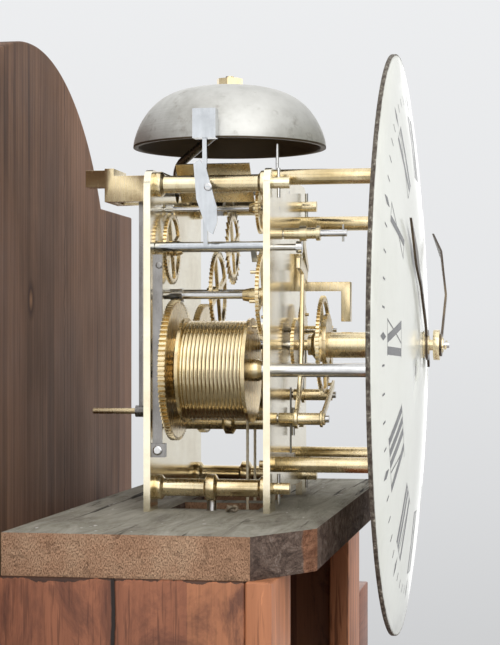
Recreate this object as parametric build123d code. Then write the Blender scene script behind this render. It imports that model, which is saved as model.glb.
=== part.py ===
from build123d import *
import math
import os

# A longcase clock with its hood lifted off: the case, the eight-day movement on its
# seatboard, the convex dial and hands, the bell, the lines, pulleys and weights.
# X is to the right of someone facing the dial, Y is to the back and Z is up.
# The origin is on the floor under the middle of the clock. Sizes are in millimetres.

# Heights from the floor
SEAT_TOP = 1615.5  # top of the seatboard that carries the movement
SEAT_T = 19.5
CENTRE_OVER_SEAT = 84.5  # centre arbor over the seatboard
BASE_TOP = 480.0
WAIST_TOP = 510.0
DOOR_LOW, DOOR_HIGH = 560.0, 1390.0  # the opening that the door closes
THROAT_LOW, THROAT_HIGH = 1430.0, 1490.0
RUNNER_TOP = 1544.0
EAR_TOP = 1786.0
DIAL_Z = SEAT_TOP + CENTRE_OVER_SEAT
SEAT_LOW = SEAT_TOP - SEAT_T

# Case, with depths measured forward from the front face of the backboard
BACKBOARD_T = 14.0
ARCH_R = 165.0
TRUNK_HALF = 172.0
TRUNK_DEPTH = 160.0
CHEEK_T = 16.0
STILE_T = 12.0
OPENING_HALF = 116.0  # half the width between the front stiles
BASE_STEP = 33.0  # how far the base stands out round the trunk
BASE_HALF = TRUNK_HALF + BASE_STEP
BASE_DEPTH = TRUNK_DEPTH + BASE_STEP
BASE_T = 14.0
PLINTH_T = 12.0
PLINTH_H = 90.0
PANEL_LOW = 52.0  # under edge of the base boards, behind the plinth
RUNNER_HALF = 222.0
EAR_HALF = RUNNER_HALF - 1.0  # the ears stand just inside the hood's sides
DOOR_LAP = 12.0  # how far the door laps over its opening
DOOR_T = 12.5
DOOR_GAP = 0.5
SEAT_HALF = TRUNK_HALF - 2.0
SEAT_BACK, SEAT_FRONT = 36.0, 174.0
SEAT_CORNER = 40.0  # the corner sawn off at the left front

# Movement: depths of the plates and of what stands between and before them
PLATE_T = 3.5
BACK_PLATE_D = 76.5
PLATE_GAP = 58.0
PLATE_HALF = 64.0
PLATE_TOP = 89.5  # over the centre arbor
PLATE_CORNER_R = 9.0
FOOT_W, FOOT_H = 17.0, 8.0
INSIDE_D = BACK_PLATE_D + PLATE_T
FRONT_INSIDE_D = INSIDE_D + PLATE_GAP
FRONT_D = FRONT_INSIDE_D + PLATE_T
ENDSHAKE = 0.3
FIT = 0.05  # radial clearance of a pivot in its hole

# Dial and hands
DIAL_R = 152.4
DIAL_T = 2.0
DIAL_EDGE_D = 199.0  # back of the dial at its rim
DIAL_BULGE = 12.5
DIAL_FRONT_D = DIAL_EDGE_D + DIAL_BULGE + DIAL_T  # at the dial's centre
HAND_T = 1.2
HAND_CLEAR = 1.3  # from the dial to the hour hand
HAND_GAP = 6.0  # between the two hands
HOUR_HAND_D = DIAL_FRONT_D + HAND_CLEAR
MINUTE_HAND_D = HOUR_HAND_D + HAND_T + HAND_GAP
CANNON_TIP_D = MINUTE_HAND_D + HAND_T + 0.8
HAND_PIN_D = CANNON_TIP_D + 1.2
ARBOR_TIP_D = HAND_PIN_D + 1.8
HOUR_HAND_L, MINUTE_HAND_L = 89.0, 120.0
HOUR_HAND_DEG, MINUTE_HAND_DEG = -45.0, 57.0  # clockwise from twelve

# Trains: teeth and modules
GOING_GREAT_N, GOING_GREAT_M = 96, 0.74
CENTRE_PINION_N = 8
CENTRE_N, CENTRE_M = 60, 0.85
THIRD_PINION_N = 8
THIRD_N, THIRD_M = 56, 0.78
ESCAPE_PINION_N = 7
ESCAPE_N, ESCAPE_R = 30, 20.5
STRIKE_GREAT_N, STRIKE_GREAT_M = 84, 0.853
PIN_PINION_N = 8
PIN_N, PIN_M = 64, 0.72
GATHER_PINION_N = 8
GATHER_N, GATHER_M = 56, 0.66
WARN_PINION_N = 7
WARN_N, WARN_M = 48, 0.54
FLY_PINION_N = 6
CANNON_N, CANNON_M = 40, 0.7
MINUTE_PINION_N, HOUR_N = 6, 72
WHEEL_T = 1.8
GREAT_T = 3.5
COLLET_WALL, COLLET_L = 1.8, 5.0  # the brass collets on the arbors

# Barrels, lines, pulleys and weights
WINDING_DROP = 13.0  # winding arbors under the centre arbor
BARREL_R = 25.0
FLANGE_R = 27.0
BARREL_D0, BARREL_D1 = 92.6, 128.5
FLANGE_T = 1.6
RATCHET_N, RATCHET_R, RATCHET_TOOTH = 30, 17.0, 2.4
WINDING_R = 4.0
WINDING_BACK_R, WINDING_FRONT_R = 3.0, 3.5  # where the winding arbors run in the plates
SQUARE_W, SQUARE_L = 5.0, 7.5  # the end that takes the key
WINDING_TIP_D = DIAL_FRONT_D - 1.0
LINE_R = 0.8
LINE_D = 121.0
LINE_GAP = 0.3  # between a line and the groove of its pulley
WINDING_TURNS = 14
PULLEY_R = 22.2  # at the bottom of the groove
PULLEY_RIM_R = 26.0
PULLEY_T = 8.0
WEIGHT_R, WEIGHT_L = 26.0, 240.0
WEIGHT_DROP = 50.0  # from the pulley's axle to the top of the weight
WOUND_GAP = 12.0  # from the seatboard to the pulley when fully wound

# Bell and hammer
BELL_R = 52.0
BELL_RIM_H, BELL_TOP_H = 106.0, 139.5
BELL_D = 109.0
BELL_T = 2.6
HAMMER_X, HAMMER_H = -52.0, 50.4

FACE_Y = (ARBOR_TIP_D - BACKBOARD_T) / 2
LINE_PITCH_R = BARREL_R + LINE_R
PULLEY_PITCH_R = PULLEY_R + LINE_R + LINE_GAP


def point(x, h, d):
    """A place from its offset, its height over the centre arbor and its depth."""
    return (x, FACE_Y - d, DIAL_Z + h)


def board(x0, x1, d0, d1, z0, z1):
    """A straight board between two depths and two heights from the floor."""
    middle = Pos((x0 + x1) / 2, FACE_Y - (d0 + d1) / 2, (z0 + z1) / 2)
    return middle * Box(x1 - x0, d1 - d0, z1 - z0)


def rod(x, h, d0, d1, r):
    """A round bar that points forward."""
    bar = Cylinder(r, d1 - d0, align=(Align.CENTER, Align.CENTER, Align.MIN))
    return Pos(*point(x, h, d0)) * Rot(90, 0, 0) * bar


def slab(outline, d0, d1, x=0.0, h=0.0):
    """A flat piece parallel to the dial, from an outline seen from the front."""
    plane = Plane(point(x, h, d0), x_dir=(1, 0, 0), z_dir=(0, -1, 0))
    return extrude(plane * outline, amount=d1 - d0)


def shape(*points):
    """A closed outline through points, kept where they are."""
    return Polygon(*points, align=None)


def turned(x, h, profile):
    """A piece turned about a forward axis, from (depth, radius) points."""
    plane = Plane(point(x, h, 0), x_dir=(0, -1, 0), z_dir=(-1, 0, 0))
    return revolve(plane * shape(*profile), axis=Axis(point(x, h, 0), (0, -1, 0)))


def upright(x, d, profile):
    """A piece turned about an upright axis, from (radius, height from the floor) points."""
    plane = Plane((x, FACE_Y - d, 0), x_dir=(1, 0, 0), z_dir=(0, -1, 0))
    return revolve(plane * shape(*profile), axis=Axis((x, FACE_Y - d, 0), (0, 0, 1)))


def polar(r, deg):
    return (r * math.cos(math.radians(deg)), r * math.sin(math.radians(deg)))


os.makedirs("parts", exist_ok=True)


def save(name, *solids):
    """Writes one node, made of one or more separate solids."""
    pieces = [one for item in solids for one in item.solids()]
    export_step(pieces[0] if len(pieces) == 1 else Compound(children=pieces), f"parts/{name}.step")


# Gear teeth: each tooth is root, tip, tip, root. Wheel teeth taper to a narrow tip and
# pinion leaves are thinner than their gaps, so a pair runs with backlash all round.
WHEEL_TOOTH = {"tip": 0.85, "root": 1.2, "root_half": 0.74, "tip_half": 0.2}
PINION_LEAF = {"tip": 0.45, "root": 1.25, "root_half": 0.4, "tip_half": 0.28}
MOTION_TOOTH = {"tip": 0.7, "root": 1.0, "root_half": 0.62, "tip_half": 0.25}


def toothed(teeth, module, phase, tooth):
    """The outline of a gear with the middle of a tooth at the phase angle, in radians."""
    pitch_r = teeth * module / 2
    tip_r, root_r = pitch_r + tooth["tip"] * module, pitch_r - tooth["root"] * module
    root_a, tip_a = tooth["root_half"] * module / root_r, tooth["tip_half"] * module / tip_r
    points = []
    for k in range(teeth):
        a = phase + 2 * math.pi * k / teeth
        for r, off in ((root_r, -root_a), (tip_r, -tip_a), (tip_r, tip_a), (root_r, root_a)):
            points.append((r * math.cos(a + off), r * math.sin(a + off)))
    return shape(*points)


def mesh_phase(teeth, other_teeth, centre, other_centre, phase=0.0):
    """The phase that puts a gap of the other gear where a tooth of this one meets it."""
    a = math.atan2(other_centre[1] - centre[1], other_centre[0] - centre[0])
    return a + math.pi + (a - phase) * teeth / other_teeth + math.pi / other_teeth


def crossings(rim_r, hub_r, spokes=4, spoke_w=2.6):
    """The openings between the spokes of a crossed-out wheel."""
    ring = Circle(rim_r) - Circle(hub_r)
    for k in range(spokes // 2):
        ring -= Rot(0, 0, 180 * k / (spokes / 2) + 22.5) * Rectangle(2 * rim_r + 2, spoke_w)
    return ring


def wheel(teeth, module, at, d0, t, bore, phase=0.0, spokes=4, tooth=WHEEL_TOOTH):
    """A crossed-out brass wheel with a bore."""
    root_r = teeth * module / 2 - tooth["root"] * module
    outline = toothed(teeth, module, phase, tooth) - Circle(bore)
    if spokes:
        outline -= crossings(root_r - 1.6, bore + 2.4, spokes)
    return slab(outline, d0, d0 + t, *at)


def pinion(teeth, module, at, d0, d1, phase, bore=0.0):
    outline = toothed(teeth, module, phase, PINION_LEAF)
    if bore:
        outline -= Circle(bore)
    return slab(outline, d0, d1, *at)


def arbor(at, r, pivot_r, front=FRONT_D):
    """A steel arbor between the plates, with a pivot in each plate."""
    body = rod(*at, INSIDE_D + ENDSHAKE, FRONT_INSIDE_D - ENDSHAKE, r)
    return body + rod(*at, BACK_PLATE_D + 0.2, front, pivot_r)


def pitch_distance(n1, n2, module):
    return (n1 + n2) * module / 2


def offset_from(start, distance, deg):
    x, h = polar(distance, deg)
    return (start[0] + x, start[1] + h)


# Places of the arbors, as (offset, height over the centre arbor). Each stands at its
# pitch distance from the one that drives it.
CENTRE = (0.0, 0.0)
going_reach = pitch_distance(GOING_GREAT_N, CENTRE_PINION_N, GOING_GREAT_M)
GOING = (math.sqrt(going_reach**2 - WINDING_DROP**2), -WINDING_DROP)
THIRD = offset_from(CENTRE, pitch_distance(CENTRE_N, THIRD_PINION_N, CENTRE_M), 83.5)
third_reach = pitch_distance(THIRD_N, ESCAPE_PINION_N, THIRD_M)
ESCAPE = (0.0, THIRD[1] + math.sqrt(third_reach**2 - THIRD[0] ** 2))
PALLETS = (0.0, 82.0)
STRIKE = (-38.5, -WINDING_DROP)
PIN_WHEEL = offset_from(STRIKE, pitch_distance(STRIKE_GREAT_N, PIN_PINION_N, STRIKE_GREAT_M), 83.0)
GATHER = offset_from(PIN_WHEEL, pitch_distance(PIN_N, GATHER_PINION_N, PIN_M), 75.0)
WARN = offset_from(GATHER, pitch_distance(GATHER_N, WARN_PINION_N, GATHER_M), 105.0)
FLY = offset_from(WARN, pitch_distance(WARN_N, FLY_PINION_N, WARN_M), 88.0)
MINUTE_WHEEL = offset_from(CENTRE, CANNON_N * CANNON_M, 17.0)
HOUR_M = 2 * CANNON_N * CANNON_M / (MINUTE_PINION_N + HOUR_N)
RACK = (-38.0, -38.0)
HOOK = (-20.0, 58.5)
LIFTER = (14.0, -27.0)

# Depths between the plates
GREAT_D = 86.0
PINION_LOW_D = 82.0
THIRD_WHEEL_D = 101.0
ESCAPE_WHEEL_D = 110.0
GATHER_WHEEL_D = 82.2
PIN_WHEEL_D = 132.4
CENTRE_WHEEL_D = 135.2
WARN_WHEEL_D = 130.6
PIN_LENGTH = 3.2
FLY_D0, FLY_D1 = 88.0, 127.0
HAMMER_D = 107.0

# Depths before the front plate
CANNON_D = 144.0
RACK_D = 150.0
HOUR_WHEEL_D = 159.0
SNAIL_T = 2.0
HOUR_PIPE_R, HOUR_PIPE_BORE = 6.9, 3.0
CANNON_PIPE_R = 2.9
ARBOR_FRONT_R = 1.6
FREE = 0.4  # end clearance of the pipes on the front plate's studs
STUD_OUT = 2.0  # how far a stud stands out of its pipe
TAIL_T = 1.4
TAIL_D = HOUR_WHEEL_D + WHEEL_T + SNAIL_T + 0.6
RACK_PIPE_END = TAIL_D + TAIL_T + 1.2
HOOK_PIPE_END = RACK_D + 11.0
HOOK_STUD_END = HOOK_PIPE_END + 14.0
LIFTER_PIPE_END = CANNON_D + 19.0
MINUTE_PINION_END = HOUR_WHEEL_D + WHEEL_T + 1.0


# Case

outline = shape(
    (-BASE_HALF, PANEL_LOW), (BASE_HALF, PANEL_LOW), (BASE_HALF, BASE_TOP), (TRUNK_HALF, BASE_TOP),
    (TRUNK_HALF, THROAT_LOW), (EAR_HALF, THROAT_LOW), (EAR_HALF, EAR_TOP),
    (-EAR_HALF, EAR_TOP), (-EAR_HALF, THROAT_LOW), (-TRUNK_HALF, THROAT_LOW),
    (-TRUNK_HALF, BASE_TOP), (-BASE_HALF, BASE_TOP),
)
outline = Pos(0, -DIAL_Z) * outline + Circle(ARCH_R)
save("backboard", slab(outline, -BACKBOARD_T, 0))



def both_sides(inner, outer, d0, d1, z0, z1):
    """Two like boards, one on each side of the clock."""
    return board(-outer, -inner, d0, d1, z0, z1), board(inner, outer, d0, d1, z0, z1)


STILE_D = TRUNK_DEPTH - STILE_T
save("trunk_cheeks", *both_sides(TRUNK_HALF - CHEEK_T, TRUNK_HALF, 0, STILE_D, BASE_TOP, SEAT_LOW))
save("front_stiles", *both_sides(OPENING_HALF, TRUNK_HALF, STILE_D, TRUNK_DEPTH, BASE_TOP, SEAT_LOW))
rails = [
    board(-OPENING_HALF, OPENING_HALF, STILE_D, TRUNK_DEPTH, low, high)
    for low, high in ((BASE_TOP, DOOR_LOW), (DOOR_HIGH, THROAT_HIGH))
]
save("trunk_rails", *rails)


def moulding(profile, half, depth, z, back=0.0):
    """A moulding mitred round the two sides and the front, from a profile drawn outward and up."""
    start, end = (-half, FACE_Y - back, z), (half, FACE_Y - back, z)
    path = Polyline(start, (-half, FACE_Y - depth, z), (half, FACE_Y - depth, z), end)
    plane = Plane(start, x_dir=(-1, 0, 0), z_dir=(0, 1, 0))
    return sweep(plane * profile, path=path, transition=Transition.RIGHT)


THROAT_OUT = RUNNER_HALF - TRUNK_HALF
THROAT_CURVE, WAIST_CURVE = 0.774, 1.14  # radius of each curve as a share of its chord
MOULDING_LIP, MOULDING_STEP, THROAT_BAND = 6.0, 4.0, 10.0
throat_h = THROAT_HIGH - THROAT_LOW
lip, hollow_top = (MOULDING_LIP, MOULDING_LIP), (THROAT_OUT - MOULDING_STEP, throat_h - THROAT_BAND)
band_low, band_high = (THROAT_OUT, throat_h - THROAT_BAND), (THROAT_OUT, throat_h)
throat = make_face(
    Polyline((0, 0), (MOULDING_LIP, 0), lip).edges()
    + [RadiusArc(lip, hollow_top, -THROAT_CURVE * math.dist(lip, hollow_top))]
    + Polyline(hollow_top, band_low, band_high, (0, throat_h), (0, 0)).edges()
)
save("throat_moulding", moulding(throat, TRUNK_HALF, TRUNK_DEPTH, THROAT_LOW))

save("hood_runners", *both_sides(TRUNK_HALF, RUNNER_HALF, 0, TRUNK_DEPTH, THROAT_HIGH, RUNNER_TOP))

WAIST_OUT = BASE_HALF - TRUNK_HALF + MOULDING_STEP
WAIST_BAND, WAIST_LIP = 7.0, 5.0
waist_h = WAIST_TOP - BASE_TOP
round_low = (WAIST_OUT - MOULDING_STEP, WAIST_BAND)
round_top = (MOULDING_LIP, waist_h - WAIST_LIP)
waist = make_face(
    Polyline((0, 0), (WAIST_OUT, 0), (WAIST_OUT, WAIST_BAND), round_low).edges()
    + [RadiusArc(round_low, round_top, WAIST_CURVE * math.dist(round_low, round_top))]
    + Polyline(round_top, (MOULDING_LIP, waist_h), (0, waist_h), (0, 0)).edges()
)
save("waist_moulding", moulding(waist, TRUNK_HALF, TRUNK_DEPTH, BASE_TOP))

FLOOR_Z, FLOOR_T = 96.0, 12.0
save(
    "base_panels",
    board(-BASE_HALF, BASE_HALF, BASE_DEPTH - BASE_T, BASE_DEPTH, PANEL_LOW, BASE_TOP),
    board(-BASE_HALF, BASE_T - BASE_HALF, 0, BASE_DEPTH - BASE_T, PANEL_LOW, BASE_TOP),
    board(BASE_HALF - BASE_T, BASE_HALF, 0, BASE_DEPTH - BASE_T, PANEL_LOW, BASE_TOP),
    board(BASE_T - BASE_HALF, BASE_HALF - BASE_T, 0, BASE_DEPTH - BASE_T, FLOOR_Z, FLOOR_Z + FLOOR_T),
)

BRACKET_W, BRACKET_RISE, BRACKET_R = 62.0, 44.0, 14.0
SPLAY_T, SPLAY_H = 6.0, 8.0  # the slope along the plinth's top edge
plinth_profile = shape(
    (0, 0), (PLINTH_T, 0), (PLINTH_T, PLINTH_H - SPLAY_H), (PLINTH_T - SPLAY_T, PLINTH_H), (0, PLINTH_H)
)
plinth = moulding(plinth_profile, BASE_HALF, BASE_DEPTH, 0, back=-BACKBOARD_T)


def bracket_cut(half_span):
    """The opening between two bracket feet, with a curved shoulder at each end."""
    flat, spring = half_span - BRACKET_R, BRACKET_RISE - BRACKET_R
    arch = Rectangle(2 * half_span, 2 * spring) + Rectangle(2 * flat, 2 * BRACKET_RISE)
    return arch + [Pos(s * flat, spring) * Circle(BRACKET_R) for s in (-1, 1)]


front_cut = bracket_cut(BASE_HALF + PLINTH_T - BRACKET_W)
plinth -= slab(front_cut, BASE_DEPTH - 1, BASE_DEPTH + PLINTH_T + 1, h=-DIAL_Z)
side_middle = FACE_Y - (BASE_DEPTH + PLINTH_T - BACKBOARD_T) / 2
side_cut = bracket_cut((BASE_DEPTH + PLINTH_T + BACKBOARD_T) / 2 - BRACKET_W)
side_plane = Plane((-BASE_HALF - PLINTH_T - 1, side_middle, 0), x_dir=(0, -1, 0), z_dir=(1, 0, 0))
side_bar = extrude(side_plane * side_cut, amount=2 * (BASE_HALF + PLINTH_T + 1))
save("plinth", plinth - side_bar)

# The seatboard lies across the cheeks. The lines fall through two slots, and their
# fixed ends are knotted in two small holes.
going_fall_x = GOING[0] - LINE_PITCH_R
strike_fall_x = STRIKE[0] + LINE_PITCH_R
going_fixed_x = going_fall_x + 2 * PULLEY_PITCH_R
strike_fixed_x = strike_fall_x - 2 * PULLEY_PITCH_R
MIDDLE_D = (INSIDE_D + FRONT_INSIDE_D) / 2
PILLAR_X, PILLAR_LOW_H = 50.0, -73.0  # the lower pillars, into which the seat bolts screw
BOLT_R = 2.5
SLOT_IN, SLOT_OUT, SLOT_L = 8.0, 44.0, 46.0
seat_outline = shape(
    (-SEAT_HALF, SEAT_BACK), (SEAT_HALF, SEAT_BACK), (SEAT_HALF, SEAT_FRONT),
    (SEAT_CORNER - SEAT_HALF, SEAT_FRONT), (-SEAT_HALF, SEAT_FRONT - SEAT_CORNER * 0.6),
)
for s in (-1, 1):
    middle = s * (SLOT_IN + SLOT_OUT) / 2
    seat_outline -= Pos(middle, MIDDLE_D) * Rectangle(SLOT_OUT - SLOT_IN, SLOT_L)
    seat_outline -= Pos(s * PILLAR_X, MIDDLE_D) * Circle(BOLT_R + 0.5)
for x in (going_fixed_x, strike_fixed_x):
    seat_outline -= Pos(x, LINE_D) * Circle(LINE_R + 0.4)
seat_plane = Plane((0, FACE_Y, SEAT_TOP), x_dir=(1, 0, 0), z_dir=(0, 0, -1))
save("seatboard", extrude(seat_plane * seat_outline, amount=SEAT_T))

# Trunk door, its hinges, lock escutcheon
DOOR_HALF = OPENING_HALF + DOOR_LAP
DOOR_D0 = TRUNK_DEPTH + DOOR_GAP
DOOR_D1 = DOOR_D0 + DOOR_T
door = board(-DOOR_HALF, DOOR_HALF, DOOR_D0, DOOR_D1, DOOR_LOW - DOOR_LAP, DOOR_HIGH + DOOR_LAP)
edges_front = door.faces().sort_by(Axis.Y)[0].edges()
door = chamfer(edges_front, 5)
KEYHOLE_UP, KEYHOLE_IN = 60.0, 14.0  # over the door's middle, in from its left edge
KEYHOLE_Z = (DOOR_LOW + DOOR_HIGH) / 2 + KEYHOLE_UP
KEYHOLE_X = KEYHOLE_IN - DOOR_HALF
door -= Pos(KEYHOLE_X, FACE_Y - DOOR_D1, KEYHOLE_Z) * Box(3, 12, 10)
save("trunk_door", door)

HINGE_R, HINGE_PIN_R, HINGE_H, HINGE_T, HINGE_GAP = 3.0, 1.5, 26.0, 1.6, 0.3
HINGE_LEAF_W, HINGE_LEAF_D = 20.0, 11.0
HINGE_X = DOOR_HALF + HINGE_R + HINGE_GAP
HINGE_FROM_END = 90.0
UP = (Align.CENTER, Align.CENTER, Align.MIN)
DOWN = (Align.CENTER, Align.CENTER, Align.MAX)
side = HINGE_X - HINGE_T / 2
fixed, moving = [], []
for z in (DOOR_LOW + HINGE_FROM_END, DOOR_HIGH - HINGE_FROM_END):
    foot = Pos(HINGE_X, FACE_Y - DOOR_D1, z)
    bracket = foot * Cylinder(HINGE_R, HINGE_H, align=UP)
    bracket += foot * Cylinder(HINGE_PIN_R, 2 * HINGE_H, align=UP)
    bracket += board(side, side + HINGE_T, TRUNK_DEPTH, DOOR_D1 - HINGE_R + 1, z, z + HINGE_H)
    bracket += board(side, side + HINGE_LEAF_W, TRUNK_DEPTH, TRUNK_DEPTH + HINGE_T, z, z + HINGE_H)
    fixed.append(bracket)
    low, high = z + HINGE_H + HINGE_GAP, z + 2 * HINGE_H
    leaf = foot * Pos(0, 0, HINGE_H + HINGE_GAP) * Cylinder(HINGE_R, HINGE_H, align=UP)
    leaf -= foot * Cylinder(HINGE_PIN_R + FIT, 3 * HINGE_H, align=UP)
    leaf_end = HINGE_X - HINGE_PIN_R - HINGE_GAP
    leaf += board(DOOR_HALF, leaf_end, DOOR_D1 - HINGE_LEAF_D, DOOR_D1 + 1, low, high)
    moving.append(leaf)
save("hinge_brackets", *fixed)
plate_outline = Ellipse(8, 13) - Rectangle(3, 8)
escutcheon = slab(plate_outline, DOOR_D1, DOOR_D1 + 1, KEYHOLE_X, KEYHOLE_Z - DIAL_Z)
save("door_brasses", escutcheon, *moving)

# Plates, pillars and what pins them together

bolted_pillars = [(-PILLAR_X, PILLAR_LOW_H), (PILLAR_X, PILLAR_LOW_H)]
plain_pillars = [(-50.0, 82.5), (50.0, 78.0)]
MIDDLE_PILLAR_H = -41.0  # between the two great wheels
pillar_places = bolted_pillars + plain_pillars + [(0.0, MIDDLE_PILLAR_H)]
PILLAR_R, PILLAR_COLLAR_R, PILLAR_KNOB_R, PILLAR_TAIL_R = 4.5, 6.3, 7.0, 3.0
PILLAR_TAIL_L, COLLAR_T, KNOB_T, SLOPE = 8.0, 3.0, 4.0, 1.5
PIN_R, PIN_L, PIN_OVER = 0.9, 15.0, 2.2  # the taper pins and how far they lie over the plate
BOLT_HEAD_R, BOLT_HEAD_T = 8.0, 5.0
pillars, plate_pins = [], []
for x, h in pillar_places:
    back_collar, front_collar = INSIDE_D + COLLAR_T, FRONT_INSIDE_D - COLLAR_T
    profile = [(INSIDE_D, 0), (INSIDE_D, PILLAR_COLLAR_R), (back_collar, PILLAR_COLLAR_R)]
    profile += [(back_collar + SLOPE, PILLAR_R)]
    if (x, h) not in plain_pillars:
        knob_back, knob_front = MIDDLE_D - KNOB_T / 2, MIDDLE_D + KNOB_T / 2
        profile += [(knob_back - SLOPE, PILLAR_R), (knob_back, PILLAR_KNOB_R)]
        profile += [(knob_front, PILLAR_KNOB_R), (knob_front + SLOPE, PILLAR_R)]
    profile += [(front_collar - SLOPE, PILLAR_R), (front_collar, PILLAR_COLLAR_R)]
    profile += [(FRONT_INSIDE_D, PILLAR_COLLAR_R), (FRONT_INSIDE_D, PILLAR_TAIL_R)]
    profile += [(FRONT_D + PILLAR_TAIL_L, PILLAR_TAIL_R), (FRONT_D + PILLAR_TAIL_L, 0)]
    one = turned(x, h, profile) + rod(x, h, BACK_PLATE_D - 1, INSIDE_D, PILLAR_TAIL_R)
    pin = Pos(*point(x, h, FRONT_D + PIN_OVER)) * Cylinder(PIN_R, PIN_L)
    if (x, h) in bolted_pillars:
        one -= Pos(*point(x, h, MIDDLE_D)) * Cylinder(BOLT_R, 2 * PILLAR_KNOB_R, align=DOWN)
    pillars.append(one - pin)
    plate_pins.append(pin)
save("plate_pillars", *pillars)

bolts = []
for x, h in bolted_pillars:
    shank = Pos(*point(x, h, MIDDLE_D)) * Cylinder(BOLT_R, DIAL_Z + h - SEAT_LOW, align=DOWN)
    head = Pos(x, FACE_Y - MIDDLE_D, SEAT_LOW) * Cylinder(BOLT_HEAD_R, BOLT_HEAD_T, align=DOWN)
    bolts.append(shank + head)
save("seat_bolts", *bolts)

# Dial feet: riveted to the dial, each with a thin tail pinned behind the front plate
dial_feet_at = [(-42.0, 86.0), (45.0, 68.0), (-45.0, -61.0), (45.0, -61.0)]
DIAL_FOOT_R, DIAL_TAIL_R, DIAL_TAIL_L = 4.0, 1.9, 5.0
FOOT_PIN_R, FOOT_PIN_L, FOOT_PIN_OVER = 0.7, 10.0, 1.6


feet = []
dome_r = (DIAL_R**2 + DIAL_BULGE**2) / (2 * DIAL_BULGE)
dome = Pos(*point(0, 0, DIAL_EDGE_D + DIAL_BULGE - dome_r)) * Sphere(dome_r)
for x, h in dial_feet_at:
    foot = rod(x, h, FRONT_D, DIAL_EDGE_D + DIAL_BULGE, DIAL_FOOT_R) & dome
    tail = rod(x, h, FRONT_INSIDE_D - DIAL_TAIL_L, FRONT_D, DIAL_TAIL_R)
    pin = Pos(*point(x, h, FRONT_INSIDE_D - FOOT_PIN_OVER)) * Cylinder(FOOT_PIN_R, FOOT_PIN_L)
    feet.append(foot + tail - pin)
    plate_pins.append(pin)
save("dial_feet", *feet)
save("taper_pins", *plate_pins)

WINDING_HOLE_R, DIAL_HOLE_R = 5.5, 7.6
front_r = dome_r + DIAL_T
dial_section = Plane(point(0, 0, 0), x_dir=(0, -1, 0), z_dir=(-1, 0, 0))


def dome_at(r, sphere_r):
    """A point of the dial's section, as (depth, radius), on its back or its front."""
    return (DIAL_EDGE_D + DIAL_BULGE - dome_r + math.sqrt(sphere_r**2 - r * r), r)


back = [dome_at(r, dome_r) for r in (DIAL_HOLE_R, DIAL_R / 2, DIAL_R)]
face = [dome_at(r, front_r) for r in (DIAL_R, DIAL_R / 2, DIAL_HOLE_R)]
dial_profile = make_face(
    [ThreePointArc(*back), Line(back[2], face[0]), ThreePointArc(*face), Line(face[2], back[0])]
)
dial = revolve(dial_section * dial_profile, axis=Axis(point(0, 0, 0), (0, -1, 0)))
for x, h in (GOING, STRIKE):
    dial -= rod(x, h, DIAL_EDGE_D, DIAL_FRONT_D, WINDING_HOLE_R)
save("dial", dial)

# Bell, its stand and nut: the bell hangs on a steel stand screwed behind the back plate
BELL_HOLE_R = 2.6
BELL_RISE = BELL_TOP_H - BELL_RIM_H
BELL_CURVE = [(0.31, 0.964), (0.58, 0.85), (0.79, 0.64), (0.923, 0.343), (0.985, 0.12), (1.0, 0.0)]


def bell_wall(r, rise, top):
    """Points down the bell's wall, from its hole over the shoulder to its rim."""
    return [(BELL_HOLE_R, top)] + [(a * r, top - rise + b * rise) for a, b in BELL_CURVE]


bell_out = bell_wall(BELL_R, BELL_RISE, DIAL_Z + BELL_TOP_H)
bell_in = bell_wall(BELL_R - BELL_T, BELL_RISE - BELL_T, DIAL_Z + BELL_TOP_H - BELL_T)
save("bell", upright(0, BELL_D, bell_out + bell_in[::-1]))

STAND_X, STAND_R, STAND_BEND_H = 27.0, 2.4, 100.0
STAND_FOOT_H0, STAND_FOOT_H1, STAND_FOOT_W, STAND_FOOT_T = 50.0, 68.0, 10.0, 3.0
BELL_STUD_R, BELL_STUD_L, BELL_NUT_R, BELL_NUT_T = 2.2, 8.0, 7.0, 4.0
stand_d = BACK_PLATE_D - STAND_R
inside_crown = BELL_TOP_H - BELL_T
stand_low = point(STAND_X, STAND_FOOT_H1 - 2, stand_d)
stand_path = FilletPolyline(
    stand_low, point(STAND_X, STAND_BEND_H, stand_d),
    point(0, BELL_TOP_H - 19, BELL_D), point(0, inside_crown, BELL_D), radius=[9, 7],
)
stand = sweep(Plane(stand_low, z_dir=(0, 0, 1)) * Circle(STAND_R), path=stand_path)
foot_side = STAND_X - STAND_FOOT_W / 2
stand += board(
    foot_side, foot_side + STAND_FOOT_W, BACK_PLATE_D - STAND_FOOT_T, BACK_PLATE_D,
    DIAL_Z + STAND_FOOT_H0, DIAL_Z + STAND_FOOT_H1,
)
stand += Pos(*point(0, inside_crown, BELL_D)) * Cylinder(BELL_STUD_R, BELL_STUD_L, align=UP)
nut_outline = RegularPolygon(BELL_NUT_R, 8) - Circle(BELL_STUD_R + FIT)
nut = Pos(*point(0, BELL_TOP_H, BELL_D)) * extrude(nut_outline, amount=BELL_NUT_T)
save("bell_stand", stand, nut)

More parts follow.
